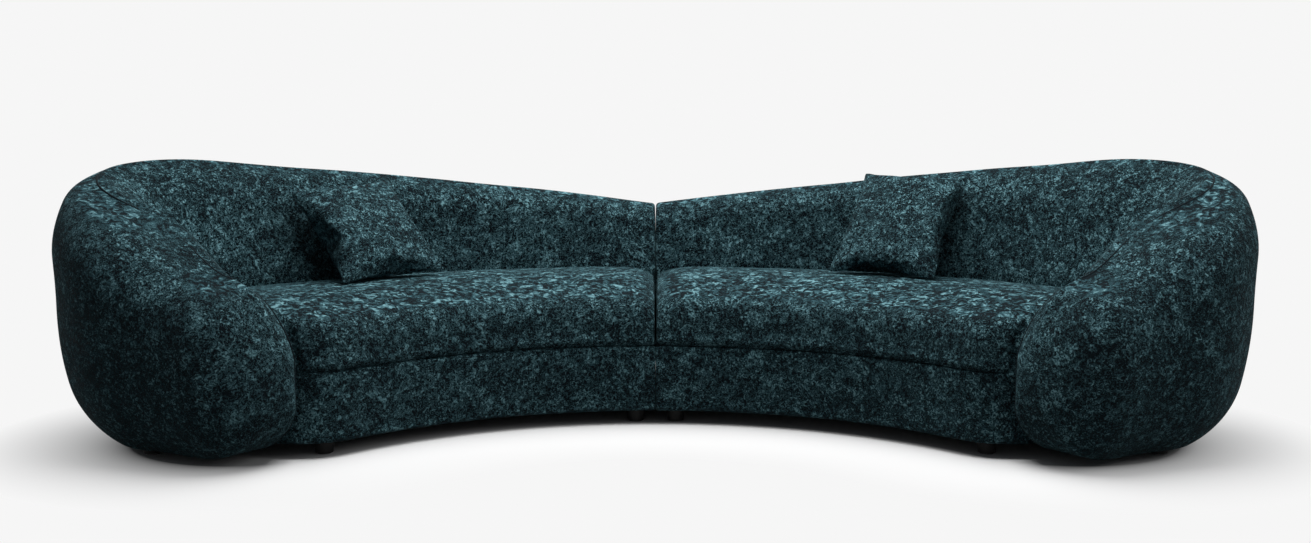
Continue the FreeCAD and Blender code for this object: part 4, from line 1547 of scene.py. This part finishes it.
@dataclass
class Studio:
    """Pale floor, soft light from above and the right, and the camera of the photograph."""

    camera_height: float = 1.044
    camera_distance: float = 4.522
    border_thickness: float = 0.030
    tilt_degrees: float = 7.14
    focal_pixels: float = 1500.0
    frame_pixels: float = 1311.0
    sensor_mm: float = 36.0
    sight: float = 200.0
    paper: float = 0.922
    lit_floor: float = 0.70
    quiet_floor: float = 0.16
    floor_half: float = 30.0
    sky: tuple[float, float, float, float] = (0.9, 0.95, 1.0, 1.0)
    sky_strength: float = 0.15
    ring_y: float = -1.253
    band_radius: float = 1.565
    band_half_angle: float = 49.0
    band_half_width: float = 0.37
    shadow_reach: float = 0.46
    shadow_falloff: float = 0.7
    lamps: tuple[SoftLamp, ...] = (
        SoftLamp("top_light", (0.2, 0.0, 3.3), (0.1, 0.0, 0.0), (3.6, 2.0), 196.0),
        SoftLamp("right_light", (4.2, -2.0, 2.8), (-0.4, 0.0, 0.3), (2.4, 2.4), 46.0),
    )

    def footprint_distance(self, tree: Tree) -> Socket:
        """Distance of a floor point from the sofa's footprint, which is an arc-shaped band.

        Args:
            tree: node tree that takes the nodes.

        Returns:
            Distance from the band's edge in metres, below zero under the sofa.
        """
        half = math.radians(self.band_half_angle)
        place = add_node(tree, "ShaderNodeTexCoord").outputs["Object"]
        split = add_node(tree, "ShaderNodeSeparateXYZ", {0: place}).outputs
        across = maths(tree, "ABSOLUTE", split["X"])
        ahead = maths(tree, "SUBTRACT", split["Y"], self.ring_y)
        from_centre = add_node(
            tree, "ShaderNodeVectorMath", {0: (0.0, self.ring_y, 0.0), 1: place}, operation="DISTANCE",
        ).outputs["Value"]
        to_arc = maths(tree, "ABSOLUTE", maths(tree, "SUBTRACT", from_centre, self.band_radius))
        aside = maths(tree, "SUBTRACT", across, self.band_radius * math.sin(half))
        along = maths(tree, "SUBTRACT", ahead, self.band_radius * math.cos(half))
        squares = [maths(tree, "MULTIPLY", side, side) for side in (aside, along)]
        to_end = maths(tree, "SQRT", maths(tree, "ADD", *squares))
        beyond = maths(tree, "GREATER_THAN", maths(tree, "ARCTAN2", across, ahead), half)
        extra = maths(tree, "MULTIPLY", beyond, maths(tree, "SUBTRACT", to_end, to_arc))
        return maths(tree, "SUBTRACT", maths(tree, "ADD", to_arc, extra), self.band_half_width)

    def floor(self) -> None:
        """Lay the floor, which turns into the backdrop's white away from the sofa."""
        material, tree, output = new_material("studio_floor")
        fade = carried(tree, self.footprint_distance(tree), (0.0, self.shadow_reach))
        direct = seen(tree)
        share = maths(tree, "MULTIPLY", maths(tree, "POWER", fade, self.shadow_falloff), direct)
        lit, quiet = (
            add_node(tree, "ShaderNodeBsdfDiffuse", {"Color": grey(level)}).outputs[0]
            for level in (self.lit_floor, self.quiet_floor)
        )
        matt = add_node(tree, "ShaderNodeMixShader", {0: direct, 1: quiet, 2: lit}).outputs[0]
        glow = add_node(tree, "ShaderNodeEmission", {"Color": grey(self.paper), "Strength": 1.0}).outputs[0]
        mixed = add_node(tree, "ShaderNodeMixShader", {0: share, 1: matt, 2: glow}).outputs[0]
        tree.links.new(mixed, output.inputs["Surface"])
        corners = np.array([[-1, -1, 0], [1, -1, 0], [1, 1, 0], [-1, 1, 0]]) * self.floor_half
        plane = mesh_object("studio_floor", corners, [(0, 1, 2, 3)], False, material)

    def world(self) -> None:
        """Dim light from all round, with the photograph's pale backdrop for the eye."""
        world = bpy.data.worlds.new("studio_world")
        world.use_nodes = True
        tree = world.node_tree
        tree.nodes.clear()
        output = tree.nodes.new("ShaderNodeOutputWorld")
        dim, bright = (
            add_node(tree, "ShaderNodeBackground", {"Color": colour, "Strength": strength}).outputs[0]
            for colour, strength in ((self.sky, self.sky_strength), (grey(self.paper), 1.0))
        )
        mixed = add_node(tree, "ShaderNodeMixShader", {0: seen(tree), 1: dim, 2: bright}).outputs[0]
        tree.links.new(mixed, output.inputs["Surface"])
        bpy.context.scene.world = world

    def camera(self) -> None:
        """Stand the camera where the photograph was taken from."""
        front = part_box("left_front_border")[1].y - self.border_thickness
        data = bpy.data.cameras.new("photo_camera")
        data.sensor_width = self.sensor_mm
        data.lens = self.focal_pixels / self.frame_pixels * self.sensor_mm
        data.clip_end = self.sight
        camera = linked("photo_camera", data)
        camera.location = (0.0, front - self.camera_distance, self.camera_height)
        camera.rotation_euler = (math.radians(90.0 - self.tilt_degrees), 0.0, 0.0)
        bpy.context.scene.camera = camera

    def build(self) -> None:
        """Set up floor, light, camera and view."""
        self.floor()
        self.world()
        for lamp in self.lamps:
            lamp.hang()
        self.camera()
        bpy.context.scene.view_settings.view_transform = "Standard"


# The nodes that keep their CAD shapes.


@dataclass
class HiddenParts:
    """Finishes of the frame, feet and fittings, which keep their CAD shapes."""

    finishes: dict[str, SimpleFinish] = field(default_factory=lambda: {
        # Pale ply with the grain drawn out along the sheet.
        "plywood": SimpleFinish("birch_plywood", "#a8865c", "#d8bd92", 6.0, (0.12, 0.12, 3.0), 0.62),
        # Even brown board, dull all over.
        "hardboard": SimpleFinish("pressed_board", "#4e3823", "#6d5236", 3.0, roughness=0.7),
        # Warm timber, sawn rough, so it shines nowhere.
        "timber": SimpleFinish("sawn_pine", "#b28a58", "#dcc092", 9.0, (0.15, 0.15, 1.6), 0.68),
        # Thin lining cloth that swallows the light under the sofa.
        "dust_cloth": SimpleFinish(
            "black_lining_cloth", "#0c0c0d", "#1b1b1d", 1.6, roughness=0.92, roughness_swing=0.05,
        ),
        # Dark elastic straps, a shade lighter than the lining.
        "webbing": SimpleFinish("elastic_webbing", "#131314", "#242426", 2.0, roughness=0.85),
        # Blurred grey shine of plated plates and screws.
        "zinc_steel": SimpleFinish(
            "zinc_plated_steel", "#9a9c9e", "#c2c4c6", 7.0, roughness=0.38, metallic=1.0,
        ),
        # Black moulded feet, made darker and duller still as painted shade, so that they sink into the shadow
        # under the sofa.
        "black_foot": SimpleFinish(
            "black_moulded_foot", "#040404", "#0a0a0b", 4.0, roughness=0.6, specular=0.2, bump_mm=0.05,
        ),
        # Smooth dark discs under the feet.
        "glide_plastic": SimpleFinish("hard_glide", "#1a1a1b", "#2a2a2c", 3.0, roughness=0.45),
    })

    def dress(self) -> dict[str, Material]:
        """Give every carried-over CAD node its finish.

        Returns:
            The finishes by slot.
        """
        built = {slot: finish.build() for slot, finish in self.finishes.items()}
        for row in frame["record"]["subparts"]:
            node = frame["nodes"][row["node"]]
            material = built.get(row["material_slot"])
            if material is None:
                continue
            if not node.material_slots:
                node.data.materials.append(material)
            for slot in node.material_slots:
                slot.material = material
            LOG.info("dressed %s", row["node"])
        return built


def main() -> None:
    """Build the sofa piece by piece, then the studio round it."""
    logging.basicConfig(level=logging.INFO, format="%(name)s: %(message)s")
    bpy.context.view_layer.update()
    velvet = CrushedVelvet().build()
    plan = RingPlan()
    wall = WrapWall(plan, velvet)
    wall.shape()
    finishes = HiddenParts().dress()
    # Painted shade: the welt along the seam gets a near-black finish that stands for the shadow in the seam's
    # groove.
    seam = SimpleFinish("painted_seam_shadow", "#050b0e", "#0d1a1f", 2.0, roughness=0.9, specular=0.1).build()
    seat = SeatCushion(plan, velvet, wall)
    border = FrontBorder(plan, velvet, wall)
    for side in Side:
        wall.build(side, seam)
        wall.build_formers(side, finishes["plywood"])
        seat.build(side)
        border.build(side)
    Pillow(
        plan, velvet, Side.LEFT, angle=32.9, radius=1505.0, lean=48.2, twist=6.2, roll=-4.2,
        width=372.0, height=410.0,
        folds=((-1.0, -0.43, -0.35, -0.2, 20.0, 11.0), (-1.0, -0.68, -0.2, -0.46, 10.0, 9.0)),
    ).build()
    Pillow(
        plan, velvet, Side.RIGHT, angle=27.8, radius=1526.0, lean=43.6, twist=3.7, roll=0.2,
        width=368.0, height=424.0,
        folds=(
            (1.0, 0.0, 0.5, 0.12, 6.0, 8.0), (1.0, -0.28, 0.4, -0.15, 6.0, 8.0),
            (1.0, -0.55, 0.5, -0.42, 6.0, 8.0), (1.0, -0.8, 0.55, -0.66, 5.0, 8.0),
        ),
    ).build()
    Studio().build()


if __name__ == "__main__":
    main()
